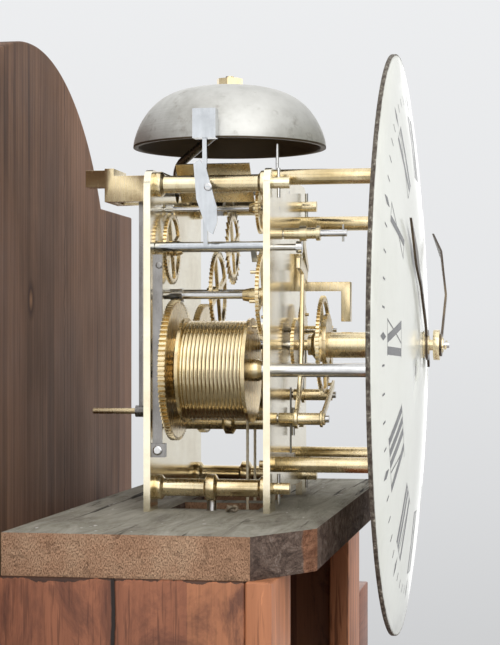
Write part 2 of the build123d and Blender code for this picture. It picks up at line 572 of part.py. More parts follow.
# Back cock: it holds the rear pivot of the pallet arbor and the slot for the pendulum's spring
COCK_D, COCK_HALF, COCK_IN, COCK_FOOT_HALF = 48.0, 14.0, 9.0, 22.0
COCK_T, COCK_FOOT_T, COCK_REACH, COCK_HOLE_R = 5.0, 4.0, 18.0, 4.5
TONGUE_HALF, SPRING_SLOT_HALF, SPRING_SLOT_L = 5.0, 0.6, 10.0
CRUTCH_D = 60.0
PALLET_PIVOT_R, PALLET_ARBOR_R = 0.9, 1.5
foot_d = BACK_PLATE_D - COCK_FOOT_T
cock_low, arm_top, cock_top = PALLETS[1] - 5, PALLETS[1] + 9, PALLETS[1] + 13
cock = board(
    -COCK_FOOT_HALF, COCK_FOOT_HALF, foot_d, BACK_PLATE_D, DIAL_Z + cock_low - 1, DIAL_Z + arm_top + 1
)
for arm in both_sides(COCK_IN, COCK_HALF, COCK_D, foot_d, DIAL_Z + cock_low, DIAL_Z + arm_top):
    cock += arm
cock += board(-COCK_HALF, COCK_HALF, COCK_D - COCK_T, COCK_D, DIAL_Z + cock_low, DIAL_Z + cock_top)
tongue_low, tongue_end = PALLETS[1] + 4, COCK_D - COCK_REACH
cock += board(
    -TONGUE_HALF, TONGUE_HALF, tongue_end, COCK_D - COCK_T, DIAL_Z + tongue_low, DIAL_Z + cock_top
)
cock -= rod(*PALLETS, COCK_D, BACK_PLATE_D, COCK_HOLE_R)
cock -= board(
    -SPRING_SLOT_HALF, SPRING_SLOT_HALF, tongue_end - 1, tongue_end + SPRING_SLOT_L,
    DIAL_Z + PALLETS[1] - 2, DIAL_Z + cock_top + 1,
)
cock -= rod(*PALLETS, COCK_D - COCK_T - 1, COCK_D + 1, PALLET_PIVOT_R + FIT)
save("back_cock", cock)

# Studs on the front plate, and the bridge over the motion work
STUD_R, MINUTE_STUD_R, STUD_PIN_R = 1.8, 1.2, 0.6
CHECK_X, CHECK_R, CHECK_L = -30.0, 0.8, 15.0  # a steel pin on the top edge of the front plate
studs = [
    rod(*RACK, FRONT_INSIDE_D, RACK_PIPE_END + STUD_OUT, STUD_R),
    rod(*HOOK, FRONT_INSIDE_D, HOOK_STUD_END, STUD_R),
    rod(*LIFTER, FRONT_INSIDE_D, LIFTER_PIPE_END + STUD_OUT, STUD_R),
    rod(*MINUTE_WHEEL, FRONT_INSIDE_D, MINUTE_PINION_END + STUD_OUT, MINUTE_STUD_R),
]
stud_pin = Pos(*point(*HOOK, HOOK_STUD_END - STUD_OUT)) * Cylinder(STUD_PIN_R, 5 * STUD_R)
studs[1] -= stud_pin
check_foot = point(CHECK_X, PLATE_TOP, FRONT_D - PLATE_T / 2)
studs.append(Pos(*check_foot) * Cylinder(CHECK_R, CHECK_L, align=UP))
save("front_studs", *studs, stud_pin)
BRIDGE_X, BRIDGE_W, BRIDGE_T = 24.0, 8.0, 5.0
BRIDGE_TOP_H, BRIDGE_LOW_H, BRIDGE_FOOT_H = 34.5, 12.8, 50.0
BRIDGE_FRONT = HOUR_WHEEL_D + 13.0
BRIDGE_FOOT_T, SCREW_R, SCREW_T = 3.0, 3.0, 2.5
bridge_sides = (BRIDGE_X - BRIDGE_W / 2, BRIDGE_X + BRIDGE_W / 2)
arm_low, arm_high = DIAL_Z + BRIDGE_TOP_H - BRIDGE_T, DIAL_Z + BRIDGE_TOP_H
foot_front = FRONT_D + BRIDGE_FOOT_T
bridge = board(*bridge_sides, FRONT_D, BRIDGE_FRONT, arm_low, arm_high)
bridge += board(*bridge_sides, BRIDGE_FRONT - BRIDGE_T, BRIDGE_FRONT, DIAL_Z + BRIDGE_LOW_H, arm_high)
bridge += board(*bridge_sides, FRONT_D, foot_front, arm_low, DIAL_Z + BRIDGE_FOOT_H)
bridge += rod(BRIDGE_X, BRIDGE_FOOT_H - 2 * SCREW_R, foot_front, foot_front + SCREW_T, SCREW_R)
save("motion_bridge", bridge)


def pivot_hole(at, r):
    return Pos(*at) * Circle(r + FIT)


plate = Pos(0, (PLATE_TOP - CENTRE_OVER_SEAT) / 2) * Rectangle(2 * PLATE_HALF, PLATE_TOP + CENTRE_OVER_SEAT)
plate = fillet(plate.vertices().group_by(Axis.Y)[-1], PLATE_CORNER_R)
plate -= Pos(0, -CENTRE_OVER_SEAT) * Rectangle(2 * (PLATE_HALF - FOOT_W), 2 * FOOT_H)
plate -= [Pos(x, h) * Circle(PILLAR_TAIL_R) for x, h in pillar_places]
THIN_PIVOT_R, CENTRE_PIVOT_R, CENTRE_FRONT_R = 0.8, 1.3, 2.6
GATHER_PIVOT_R, GATHER_FRONT_R, HAMMER_PIVOT_R = 1.2, 1.8, 1.2
for at in (THIRD, ESCAPE, PIN_WHEEL, WARN, FLY):
    plate -= pivot_hole(at, THIN_PIVOT_R)
plate -= pivot_hole((HAMMER_X, HAMMER_H), HAMMER_PIVOT_R)
back_plate = plate - pivot_hole(CENTRE, CENTRE_PIVOT_R) - pivot_hole(GATHER, GATHER_PIVOT_R)
back_plate -= Pos(*PALLETS) * Circle(COCK_HOLE_R + 0.5)
front_plate = plate - pivot_hole(CENTRE, CENTRE_FRONT_R) - pivot_hole(PALLETS, PALLET_PIVOT_R)
front_plate -= pivot_hole(GATHER, GATHER_FRONT_R)
for at in (GOING, STRIKE):
    back_plate -= pivot_hole(at, WINDING_BACK_R)
    front_plate -= pivot_hole(at, WINDING_FRONT_R)
front_plate -= [Pos(x, h) * Circle(DIAL_TAIL_R) for x, h in dial_feet_at]
front_plate -= [Pos(*at) * Circle(STUD_R) for at in (RACK, HOOK, LIFTER)]
front_plate -= Pos(*MINUTE_WHEEL) * Circle(MINUTE_STUD_R)
save("back_plate", slab(back_plate, BACK_PLATE_D, INSIDE_D))
save("front_plate", slab(front_plate, FRONT_INSIDE_D, FRONT_D))


def collet(at, arbor_r, d0, d1):
    """The turned brass collet on which a wheel is riveted, or which steadies an arbor."""
    rim_r = arbor_r + COLLET_WALL
    waist_d = d0 + 0.55 * (d1 - d0)
    return turned(*at, [
        (d0, arbor_r), (d0, rim_r), (waist_d, rim_r), (d1, arbor_r + COLLET_WALL / 2), (d1, arbor_r),
    ])


# Going train
great_bore = WINDING_R + FIT
great_front = GREAT_D + GREAT_T
CLICK_DEG, CLICK_T = 60.0, 2.0


def click(at, hand):
    """A click on the great wheel, its nose just over the ratchet's tips."""
    nose = [(0.3, -1.2), (0.5, 1.2), (5, 9), (8, 8), (6, -1)]
    outline = shape(*[(RATCHET_R + x, hand * y) for x, y in nose])
    return slab(Rot(0, 0, CLICK_DEG) * outline, great_front, great_front + CLICK_T, *at)


going_wheel = wheel(GOING_GREAT_N, GOING_GREAT_M, GOING, GREAT_D, GREAT_T, great_bore, spokes=0)
save("going_great_wheel", going_wheel, click(GOING, 1))


def ratchet(hand):
    """Saw teeth: steep on the side that the click holds."""
    tip, root = (RATCHET_R, 0.0), (RATCHET_R - RATCHET_TOOTH, hand * 1.5)
    tooth = (tip, root) if hand > 0 else (root, tip)
    return shape(*[polar(r, a + 360 * k / RATCHET_N) for k in range(RATCHET_N) for r, a in tooth])


def barrel(at, hand):
    """Barrel with its flanges and ratchet wheel, and the winding arbor that carries it."""
    drum_d0, drum_d1 = BARREL_D0 + FLANGE_T, BARREL_D1 - FLANGE_T
    drum = turned(*at, [
        (BARREL_D0, WINDING_R), (BARREL_D0, FLANGE_R), (drum_d0, FLANGE_R), (drum_d0, BARREL_R),
        (drum_d1, BARREL_R), (drum_d1, FLANGE_R), (BARREL_D1, FLANGE_R), (BARREL_D1, WINDING_R),
    ])
    drum += slab(ratchet(hand) - Circle(WINDING_R), great_front + 0.2, BARREL_D0, *at)
    shaft = rod(*at, INSIDE_D + ENDSHAKE, FRONT_INSIDE_D - ENDSHAKE, WINDING_R)
    shaft += rod(*at, BACK_PLATE_D, INSIDE_D + ENDSHAKE, WINDING_BACK_R)
    shoulder_d = WINDING_TIP_D - SQUARE_L
    shaft += rod(*at, FRONT_INSIDE_D - ENDSHAKE, shoulder_d, WINDING_FRONT_R)
    shaft += slab(Rectangle(SQUARE_W, SQUARE_W), shoulder_d, WINDING_TIP_D, *at)
    return drum, shaft, collet(at, WINDING_R, BARREL_D1, BARREL_D1 + COLLET_L)


save("going_barrel", *barrel(GOING, 1))

CENTRE_R, THIRD_R, ESCAPE_ARBOR_R = 2.2, 1.5, 1.4
centre_arbor = rod(*CENTRE, INSIDE_D + ENDSHAKE, FRONT_INSIDE_D - ENDSHAKE, CENTRE_R)
centre_arbor += rod(*CENTRE, BACK_PLATE_D, INSIDE_D + ENDSHAKE, CENTRE_PIVOT_R)
centre_arbor += rod(*CENTRE, FRONT_INSIDE_D - ENDSHAKE, CANNON_D - 1, CENTRE_FRONT_R)
centre_arbor += rod(*CENTRE, CANNON_D - 1, ARBOR_TIP_D, ARBOR_FRONT_R)
phase = mesh_phase(GOING_GREAT_N, CENTRE_PINION_N, GOING, CENTRE)
centre_arbor += pinion(CENTRE_PINION_N, GOING_GREAT_M, CENTRE, PINION_LOW_D, great_front + 1, phase)
centre_wheel = wheel(CENTRE_N, CENTRE_M, CENTRE, CENTRE_WHEEL_D, WHEEL_T, CENTRE_R)
centre_wheel += collet(CENTRE, CENTRE_R, CENTRE_WHEEL_D, CENTRE_WHEEL_D - COLLET_L)
save("centre_arbor", centre_arbor, centre_wheel)

phase = mesh_phase(CENTRE_N, THIRD_PINION_N, CENTRE, THIRD)
third_arbor = arbor(THIRD, THIRD_R, THIN_PIVOT_R)
third_pinion_d0, pinion_front = CENTRE_WHEEL_D - 3.7, FRONT_INSIDE_D - 0.6
third_arbor += pinion(THIRD_PINION_N, CENTRE_M, THIRD, third_pinion_d0, pinion_front, phase)
third_wheel = wheel(THIRD_N, THIRD_M, THIRD, THIRD_WHEEL_D, WHEEL_T, THIRD_R)
third_wheel += collet(THIRD, THIRD_R, THIRD_WHEEL_D, THIRD_WHEEL_D - COLLET_L)
save("third_arbor", third_arbor, third_wheel)

phase = mesh_phase(THIRD_N, ESCAPE_PINION_N, THIRD, ESCAPE)
escape_arbor = arbor(ESCAPE, ESCAPE_ARBOR_R, THIN_PIVOT_R)
escape_pinion_d0 = THIRD_WHEEL_D - 2
escape_arbor += pinion(ESCAPE_PINION_N, THIRD_M, ESCAPE, escape_pinion_d0, THIRD_WHEEL_D + 4, phase)
ESCAPE_TOOTH, ESCAPE_T = 4.0, 1.4
points = []
for k in range(ESCAPE_N):
    a = 360 * k / ESCAPE_N
    root_r = ESCAPE_R - ESCAPE_TOOTH
    points += [polar(ESCAPE_R, a), polar(root_r, a + 3.0), polar(root_r, a + 9.0)]
escape_outline = shape(*points) - Circle(ESCAPE_ARBOR_R)
escape_outline -= crossings(ESCAPE_R - ESCAPE_TOOTH - 1.6, ESCAPE_ARBOR_R + 2.8)
escape_wheel = slab(escape_outline, ESCAPE_WHEEL_D, ESCAPE_WHEEL_D + ESCAPE_T, *ESCAPE)
escape_front = ESCAPE_WHEEL_D + ESCAPE_T
escape_wheel += collet(ESCAPE, ESCAPE_ARBOR_R, escape_front, escape_front + COLLET_L)
save("escape_arbor", escape_arbor, escape_wheel)

# Anchor: two curved arms whose pallets stand just over the tips of the escape wheel
ANCHOR_GAP, ANCHOR_SPAN_DEG, ANCHOR_T = 1.3, 45.0, 3.8
anchor_reach = PALLETS[1] - ESCAPE[1]
tip_x, tip_h = polar(ESCAPE_R + ANCHOR_GAP, 90 - ANCHOR_SPAN_DEG)
pallet_h = tip_h - anchor_reach
anchor_half = [
    (0, 4.5), (8, 2.5), (tip_x + 4.5, pallet_h + 5), (tip_x + 3.6, pallet_h + 0.2),
    (tip_x, pallet_h), (tip_x - 0.6, pallet_h + 4.5), (6, -2.5), (0, -3.5),
]
anchor_outline = shape(*anchor_half)
anchor_outline += mirror(anchor_outline, about=Plane.YZ)
anchor_outline -= Circle(PALLET_ARBOR_R)
anchor_d0 = ESCAPE_WHEEL_D + ESCAPE_T / 2 - ANCHOR_T / 2
anchor = slab(anchor_outline, anchor_d0, anchor_d0 + ANCHOR_T, *PALLETS)
pallet_arbor = rod(*PALLETS, COCK_D + ENDSHAKE, FRONT_INSIDE_D - ENDSHAKE, PALLET_ARBOR_R)
pallet_arbor += rod(*PALLETS, COCK_D - COCK_T + 0.4, FRONT_D, PALLET_PIVOT_R)
save("pallet_arbor", pallet_arbor, anchor)

CRUTCH_LOW, CRUTCH_PIN_D, CRUTCH_PIN_R = -36.0, 33.0, 1.6
CRUTCH_HUB_R, CRUTCH_NUT_R, CRUTCH_W, CRUTCH_T = 4.0, 3.2, 3.4, 2.0
blade_top = PALLETS[1] - PALLET_ARBOR_R - 1
crutch = rod(*PALLETS, CRUTCH_D - CRUTCH_T, CRUTCH_D + CRUTCH_T, CRUTCH_HUB_R)
crutch -= rod(*PALLETS, CRUTCH_D - CRUTCH_T, CRUTCH_D + CRUTCH_T, PALLET_ARBOR_R)
blade = Box(CRUTCH_W, CRUTCH_T, blade_top - CRUTCH_LOW)
crutch += Pos(*point(0, (blade_top + CRUTCH_LOW) / 2, CRUTCH_D)) * blade
nut_back = CRUTCH_D - CRUTCH_T / 2 - 2
crutch += rod(0, CRUTCH_LOW, nut_back, CRUTCH_D + CRUTCH_T / 2 + 1.4, CRUTCH_NUT_R)
crutch_pin = rod(0, CRUTCH_LOW, CRUTCH_PIN_D, nut_back, CRUTCH_PIN_R)
save("crutch", crutch, crutch_pin)

# Strike train
strike_wheel = wheel(STRIKE_GREAT_N, STRIKE_GREAT_M, STRIKE, GREAT_D, GREAT_T, great_bore, spokes=0)
save("strike_great_wheel", strike_wheel, click(STRIKE, -1))
save("strike_barrel", *barrel(STRIKE, -1))

PIN_ARBOR_R, GATHER_R, WARN_R, WARN_T, FLY_ARBOR_R = 2.0, 2.2, 1.3, 1.5, 1.0
phase = mesh_phase(STRIKE_GREAT_N, PIN_PINION_N, STRIKE, PIN_WHEEL)
pin_arbor = arbor(PIN_WHEEL, PIN_ARBOR_R, THIN_PIVOT_R)
pin_arbor += pinion(
    PIN_PINION_N, STRIKE_GREAT_M, PIN_WHEEL, PINION_LOW_D + 2, great_front + 1, phase
)
pin_wheel = wheel(PIN_N, PIN_M, PIN_WHEEL, PIN_WHEEL_D, WHEEL_T, PIN_ARBOR_R)
pin_wheel += collet(PIN_WHEEL, PIN_ARBOR_R, PIN_WHEEL_D, PIN_WHEEL_D - 2 * COLLET_L)
LIFT_PINS, LIFT_PIN_CIRCLE, LIFT_PIN_R, LIFT_PIN_DEG = 8, 20.0, 0.9, 11.0
for k in range(LIFT_PINS):
    place = offset_from(PIN_WHEEL, LIFT_PIN_CIRCLE, 360 * k / LIFT_PINS + LIFT_PIN_DEG)
    pin_wheel += rod(*place, PIN_WHEEL_D - PIN_LENGTH, PIN_WHEEL_D, LIFT_PIN_R)
save("pin_wheel_arbor", pin_arbor, pin_wheel)

phase = mesh_phase(PIN_N, GATHER_PINION_N, PIN_WHEEL, GATHER)
gather_arbor = rod(*GATHER, INSIDE_D + ENDSHAKE, FRONT_INSIDE_D - ENDSHAKE, GATHER_R)
gather_arbor += rod(*GATHER, BACK_PLATE_D, INSIDE_D + ENDSHAKE, GATHER_PIVOT_R)
gather_arbor += rod(*GATHER, FRONT_INSIDE_D - ENDSHAKE, RACK_D + 2.5, GATHER_FRONT_R)
gather_arbor += pinion(GATHER_PINION_N, PIN_M, GATHER, PIN_WHEEL_D - 1.5, pinion_front, phase)
gather_wheel = wheel(GATHER_N, GATHER_M, GATHER, GATHER_WHEEL_D, WHEEL_T, GATHER_R)
gather_front = GATHER_WHEEL_D + WHEEL_T
gather_wheel += collet(GATHER, GATHER_R, gather_front, gather_front + COLLET_L)
save("gathering_arbor", gather_arbor, gather_wheel)

phase = mesh_phase(GATHER_N, WARN_PINION_N, GATHER, WARN)
warn_arbor = arbor(WARN, WARN_R, THIN_PIVOT_R)
warn_arbor += pinion(WARN_PINION_N, GATHER_M, WARN, INSIDE_D + 1, gather_front + 1, phase)
warn_wheel = wheel(WARN_N, WARN_M, WARN, WARN_WHEEL_D, WARN_T, WARN_R)
warn_wheel += collet(WARN, WARN_R, WARN_WHEEL_D, WARN_WHEEL_D - COLLET_L)
save("warning_arbor", warn_arbor, warn_wheel)

FLY_R, VANE_T, VANE_OFF, VANE_HUB_R, VANE_DEG = 12.0, 1.0, 1.8, 2.4, 130.0
phase = mesh_phase(WARN_N, FLY_PINION_N, WARN, FLY)
fly_arbor = arbor(FLY, FLY_ARBOR_R, THIN_PIVOT_R)
fly_arbor += pinion(FLY_PINION_N, WARN_M, FLY, WARN_WHEEL_D - 1.5, WARN_WHEEL_D + 3, phase)
vane = Pos(0, VANE_OFF) * Rectangle(2 * FLY_R, VANE_T) + Circle(VANE_HUB_R)
vane = Rot(0, 0, VANE_DEG) * vane - Circle(FLY_ARBOR_R)
save("fly", fly_arbor, slab(vane, FLY_D0, FLY_D1, *FLY))

# Motion work
COLLET_DISC_R, COLLET_DISC_T, HAND_SQUARE_R = 8.0, 3.2, 2.3
cannon_bore, cannon_front = ARBOR_FRONT_R + FIT, CANNON_D + WHEEL_T
disc_d = MINUTE_HAND_D - COLLET_DISC_T
cannon = wheel(CANNON_N, CANNON_M, CENTRE, CANNON_D, WHEEL_T, cannon_bore, 0, 0, MOTION_TOOTH)
cannon += turned(*CENTRE, [
    (cannon_front, cannon_bore), (cannon_front, CANNON_PIPE_R), (disc_d, CANNON_PIPE_R),
    (disc_d, HAND_SQUARE_R), (CANNON_TIP_D, HAND_SQUARE_R), (CANNON_TIP_D, cannon_bore),
])
save("cannon_pinion", cannon)

phase = mesh_phase(CANNON_N, CANNON_N, CENTRE, MINUTE_WHEEL)
hour_phase = mesh_phase(HOUR_N, MINUTE_PINION_N, CENTRE, MINUTE_WHEEL)
stud_bore = MINUTE_STUD_R + FIT
minute_wheel = wheel(
    CANNON_N, CANNON_M, MINUTE_WHEEL, CANNON_D, WHEEL_T, stud_bore, phase, 0, MOTION_TOOTH
)
minute_wheel += pinion(
    MINUTE_PINION_N, HOUR_M, MINUTE_WHEEL, cannon_front, MINUTE_PINION_END, hour_phase, stud_bore
)
lift_pin_at = offset_from(MINUTE_WHEEL, 10.0, 60.0)
minute_wheel += rod(*lift_pin_at, cannon_front, cannon_front + WHEEL_T, LIFT_PIN_R)
save("minute_wheel", minute_wheel)

hour_wheel = wheel(HOUR_N, HOUR_M, CENTRE, HOUR_WHEEL_D, WHEEL_T, HOUR_PIPE_R)
HOUR_COLLET_R, HOUR_NECK_R, HOUR_SEAT_R = 8.2, 5.5, 5.0
seat_back, seat_front = HOUR_HAND_D - 0.6, HOUR_HAND_D + 1.8
hour_pipe = turned(*CENTRE, [
    (HOUR_WHEEL_D - 7, HOUR_PIPE_BORE), (HOUR_WHEEL_D - 7, HOUR_NECK_R), (HOUR_WHEEL_D - 5, HOUR_NECK_R),
    (HOUR_WHEEL_D - 3, HOUR_COLLET_R), (HOUR_WHEEL_D, HOUR_COLLET_R), (HOUR_WHEEL_D, HOUR_PIPE_R),
    (seat_back, HOUR_PIPE_R), (seat_back, HOUR_SEAT_R),
    (seat_front, HOUR_SEAT_R), (seat_front, HOUR_PIPE_BORE),
])
SNAIL_STEPS, SNAIL_TOP_R, SNAIL_STEP = 12, 20.6, 1.04
SNAIL_DEG = -40.2  # the tenth step faces the rack tail at rest
snail_points = []
for k in range(SNAIL_STEPS):
    for a in (0, 10, 20, 30):
        snail_points.append(polar(SNAIL_TOP_R - SNAIL_STEP * k, 30 * k + a + SNAIL_DEG))
hour_front = HOUR_WHEEL_D + WHEEL_T
snail = slab(shape(*snail_points) - Circle(HOUR_PIPE_R), hour_front, hour_front + SNAIL_T)
save("hour_wheel", hour_wheel + snail, hour_pipe)


def bent_hand(side, front, deg):
    """A sheet hand: its side view gives the bend and its front view gives the outline."""
    turn = Rot(0, deg, 0)
    side_plane = Plane((0, 0, 0), x_dir=(0, 0, 1), z_dir=(1, 0, 0))
    thick = side + [(r, d + HAND_T) for r, d in reversed(side)]
    bent = extrude(side_plane * shape(*thick), amount=12, both=True)
    front_plane = Plane((0, 0, 0), x_dir=(1, 0, 0), z_dir=(0, -1, 0))
    face = extrude(front_plane * front, amount=ARBOR_TIP_D + 20)
    return Pos(*point(0, 0, 0)) * turn * (bent & face)


def hand_outline(boss_r, bore_r, stem, leaf_at, leaf, length, tail):
    """A hand seen from the front: a boss, a narrow stem and a leaf-shaped point."""
    stem_end = leaf_at - 14
    right = [(stem, -tail), (stem, stem_end), (leaf, leaf_at)]
    outline = shape(*right, (0, length), *[(-x, r) for x, r in reversed(right)])
    return outline + Circle(boss_r) - Circle(bore_r)


# The ends of both hands follow the dome of the dial
hour_side = [(-16, 0), (16, 0), (44, -1.0), (50, -1.6), (HOUR_HAND_L + 1, -3.6)]
hour_side = [(r, HOUR_HAND_D + off) for r, off in hour_side]
HOUR_LEAF_AT, MINUTE_LEAF_AT = 0.7 * HOUR_HAND_L, 0.735 * MINUTE_HAND_L
hour_front_view = hand_outline(HOUR_SEAT_R + 3, HOUR_SEAT_R, 1.6, HOUR_LEAF_AT, 4.6, HOUR_HAND_L, 15)
save("hour_hand", bent_hand(hour_side, hour_front_view, HOUR_HAND_DEG))
minute_side = [(-22, 0), (50, 0), (95, -5), (107, -8), (MINUTE_HAND_L + 1, -11.5)]
minute_side = [(r, MINUTE_HAND_D + off) for r, off in minute_side]
minute_boss_r = HAND_SQUARE_R + 3.7
minute_front = hand_outline(minute_boss_r, HAND_SQUARE_R, 1.3, MINUTE_LEAF_AT, 3.4, MINUTE_HAND_L, 8)
save("minute_hand", bent_hand(minute_side, minute_front, MINUTE_HAND_DEG))
disc = turned(*CENTRE, [
    (disc_d, HAND_SQUARE_R), (disc_d, COLLET_DISC_R),
    (MINUTE_HAND_D, COLLET_DISC_R), (MINUTE_HAND_D, HAND_SQUARE_R),
])
hand_front = MINUTE_HAND_D + HAND_T
washer = turned(*CENTRE, [
    (hand_front, HAND_SQUARE_R), (hand_front, 2 * HAND_SQUARE_R),
    (CANNON_TIP_D, 1.5 * HAND_SQUARE_R), (CANNON_TIP_D, HAND_SQUARE_R),
])
HAND_PIN_R, HAND_PIN_L = 0.6, 11.0
hand_pin = Pos(*point(0, 0, HAND_PIN_D)) * Rot(0, 70, 0) * Cylinder(HAND_PIN_R, HAND_PIN_L)
hand_pin -= rod(*CENTRE, HAND_PIN_D - 1, HAND_PIN_D + 1, ARBOR_FRONT_R)
save("hand_collet", disc, washer, *hand_pin.solids())

# Striking work on the front plate
PIPE_R = 3.1


def stud_pipe(at, end, r=PIPE_R):
    """A brass pipe that turns on a stud of the front plate."""
    return rod(*at, FRONT_D + FREE, end, r) - rod(*at, FRONT_D, end + 1, STUD_R + FIT)


GATHER_GAP = 0.35
RACK_T, RACK_HUB_R = 2.0, 5.0
RACK_TEETH, RACK_STEP_DEG, RACK_RIM, RACK_TOOTH = 14, 1.26, 7.0, 1.6
gather_from_rack = math.dist(RACK, GATHER)
PALLET_R = 4.3
RACK_TIP_R = gather_from_rack - PALLET_R - GATHER_GAP
gather_deg = math.degrees(math.atan2(GATHER[1] - RACK[1], GATHER[0] - RACK[0]))
head_deg = gather_deg + 3.0
head_span = 21.2
arc = [polar(RACK_TIP_R - RACK_RIM, head_deg - k * head_span / 4) for k in range(5)]
teeth = []
for k in range(RACK_TEETH + 1):
    a = head_deg - head_span + k * RACK_STEP_DEG
    teeth += [polar(RACK_TIP_R - RACK_TOOTH, a), polar(RACK_TIP_R, a + 0.1)]
teeth += [polar(RACK_TIP_R - RACK_TOOTH, head_deg)]
rack_head = shape(*arc, *teeth)
top_x, top_h = polar(RACK_TIP_R - 5, gather_deg - 10)
knee_x, knee_h = 17.0, 23.0
rack_arm = shape(
    (-2.6, 0), (2.6, -1), (knee_x + 2.6, knee_h - 1.5), (top_x + 3, top_h), (top_x - 3, top_h),
    (knee_x - 2.6, knee_h + 1.5),
)
rack_plate = rack_head + rack_arm + Circle(RACK_HUB_R) - Circle(STUD_R + FIT)
rack = stud_pipe(RACK, RACK_PIPE_END) + slab(rack_plate, RACK_D, RACK_D + RACK_T, *RACK)
tail_x, tail_h = 8.6 - RACK[0], -21.2 - RACK[1]
tail = shape((0, -2.4), (tail_x + 1, tail_h - 2.2), (tail_x + 1, tail_h + 2.2), (0, 2.4))
tail = tail + Circle(PIPE_R + 1.1) - Circle(STUD_R + FIT)
rack += slab(tail, TAIL_D, TAIL_D + TAIL_T, *RACK)
tail_pin_at = (RACK[0] + tail_x - 1.4, RACK[1] + tail_h)
rack += rod(*tail_pin_at, hour_front + 0.5, TAIL_D, LIFT_PIN_R)
save("rack", rack)

pallet_outline = Circle(3.2) + shape((-1.3, 0), (1.3, 0), (0.4, PALLET_R), (-0.6, PALLET_R))
pallet_outline = Rot(0, 0, 100) * pallet_outline - Circle(GATHER_FRONT_R)
save("gathering_pallet", slab(pallet_outline, RACK_D - 0.5, RACK_D + RACK_T + 0.4, *GATHER))

# The rack hook turns on a brass pipe with two flanges, pinned on its long stud
HOOK_T, HOOK_PIPE_R, HOOK_FLANGE_R, HOOK_FLANGE_T = 1.6, 2.9, 3.9, 2.0
hook_x, hook_h = 21.0, -19.2
hook_plate = shape(
    (-3, 0), (0, -3.4), (hook_x - 4, hook_h + 1), (hook_x, hook_h), (hook_x + 0.6, hook_h + 3), (3, 3)
)
hook_plate = hook_plate + Circle(HOOK_FLANGE_R) - Circle(HOOK_PIPE_R)
hook_plate = slab(hook_plate, RACK_D + 0.2, RACK_D + 0.2 + HOOK_T, *HOOK)
flange_d = RACK_D + 0.2 + HOOK_T
hook_pipe = stud_pipe(HOOK, HOOK_PIPE_END, HOOK_PIPE_R)
for d in (flange_d, HOOK_PIPE_END - HOOK_FLANGE_T):
    flange = rod(*HOOK, d, d + HOOK_FLANGE_T, HOOK_FLANGE_R)
    hook_pipe += flange - rod(*HOOK, d, d + HOOK_FLANGE_T, STUD_R + FIT)
save("rack_hook", hook_plate, hook_pipe)

LIFTER_D, LIFTER_T, LIFTER_HUB_R = CANNON_D + WHEEL_T + 0.6, 1.5, 4.4
lifter_arm = shape(
    (-2.4, 0), (2.2, 0), (-1.8, 33), (-1.8, 50), (-3.2, 68), (-6.2, 67), (-5.0, 50), (-4.8, 33)
)
lifter_nose = shape((0, -2), (9.5, 19), (8.2, 24.5), (6.2, 24.5), (6.0, 20), (-2, 4))
lifter_plate = lifter_arm + lifter_nose + Circle(LIFTER_HUB_R) - Circle(STUD_R + FIT)
lifter = stud_pipe(LIFTER, LIFTER_PIPE_END)
lifter += slab(lifter_plate, LIFTER_D, LIFTER_D + LIFTER_T, *LIFTER)
save("lifting_piece", lifter)

# Hammer: arbor, stem with its leaf-shaped spring plate, and steel head outside the bell
HAMMER_ARBOR_R, STEM_T, HEAD_W, HEAD_L = 2.4, 2.2, 7.2, 12.0
HEAD_IN = -(BELL_R + 1.2)
HEAD_LOW, HEAD_HIGH = BELL_RIM_H - 1, BELL_RIM_H + 14
hammer_at = (HAMMER_X, HAMMER_H)
hammer = rod(*hammer_at, INSIDE_D + ENDSHAKE, FRONT_INSIDE_D - ENDSHAKE, HAMMER_ARBOR_R)
hammer += rod(*hammer_at, BACK_PLATE_D, FRONT_D, HAMMER_PIVOT_R)
stem_in = HEAD_IN - HEAD_W / 2 + 0.2
stem_out = stem_in - STEM_T
stem = shape(
    (HAMMER_X - 4.2, HAMMER_H), (HAMMER_X - 1.8, HAMMER_H), (stem_in, HAMMER_H + 23.6),
    (stem_in, HEAD_LOW + 1), (stem_out, HEAD_LOW + 1), (stem_out, HAMMER_H + 23.6),
)
hammer += slab(stem, HAMMER_D - STEM_T / 2, HAMMER_D + STEM_T / 2)
LEAF_L, LEAF_SCREW_H = 43.6, 29.6  # up from the hammer's arbor
leaf = Polyline(
    (-5.5, LEAF_L - 2), (-2.5, LEAF_L), (1, LEAF_L - 4), (6.5, 19.6), (6.8, 11.6), (4.5, 5.6),
    (1.5, 7.6), (-4, 23.6), close=True,
)
leaf_plane = Plane(point(stem_out, HAMMER_H, HAMMER_D), x_dir=(0, -1, 0), z_dir=(-1, 0, 0))
hammer += extrude(leaf_plane * make_face(leaf), amount=1.2)
leaf_screw = Pos(*point(stem_out - 1, HAMMER_H + LEAF_SCREW_H, HAMMER_D + STEM_T)) * Rot(0, 90, 0)
hammer += leaf_screw * Cylinder(1.8, 2.4)
head_middle = point(HEAD_IN - HEAD_W / 2, (HEAD_LOW + HEAD_HIGH) / 2, HAMMER_D)
hammer += Pos(*head_middle) * Box(HEAD_W, HEAD_L, HEAD_HIGH - HEAD_LOW)
tail_reach = math.dist(hammer_at, PIN_WHEEL) - LIFT_PIN_CIRCLE - LIFT_PIN_R - 0.5
tail_deg = math.degrees(math.atan2(PIN_WHEEL[1] - HAMMER_H, PIN_WHEEL[0] - HAMMER_X))
tail = Rot(0, 0, tail_deg) * Pos(tail_reach / 2, 0) * Rectangle(tail_reach, 2.4)
hammer += slab(tail, PIN_WHEEL_D - PIN_LENGTH + 0.3, PIN_WHEEL_D - 0.4, *hammer_at)
save("hammer", hammer)

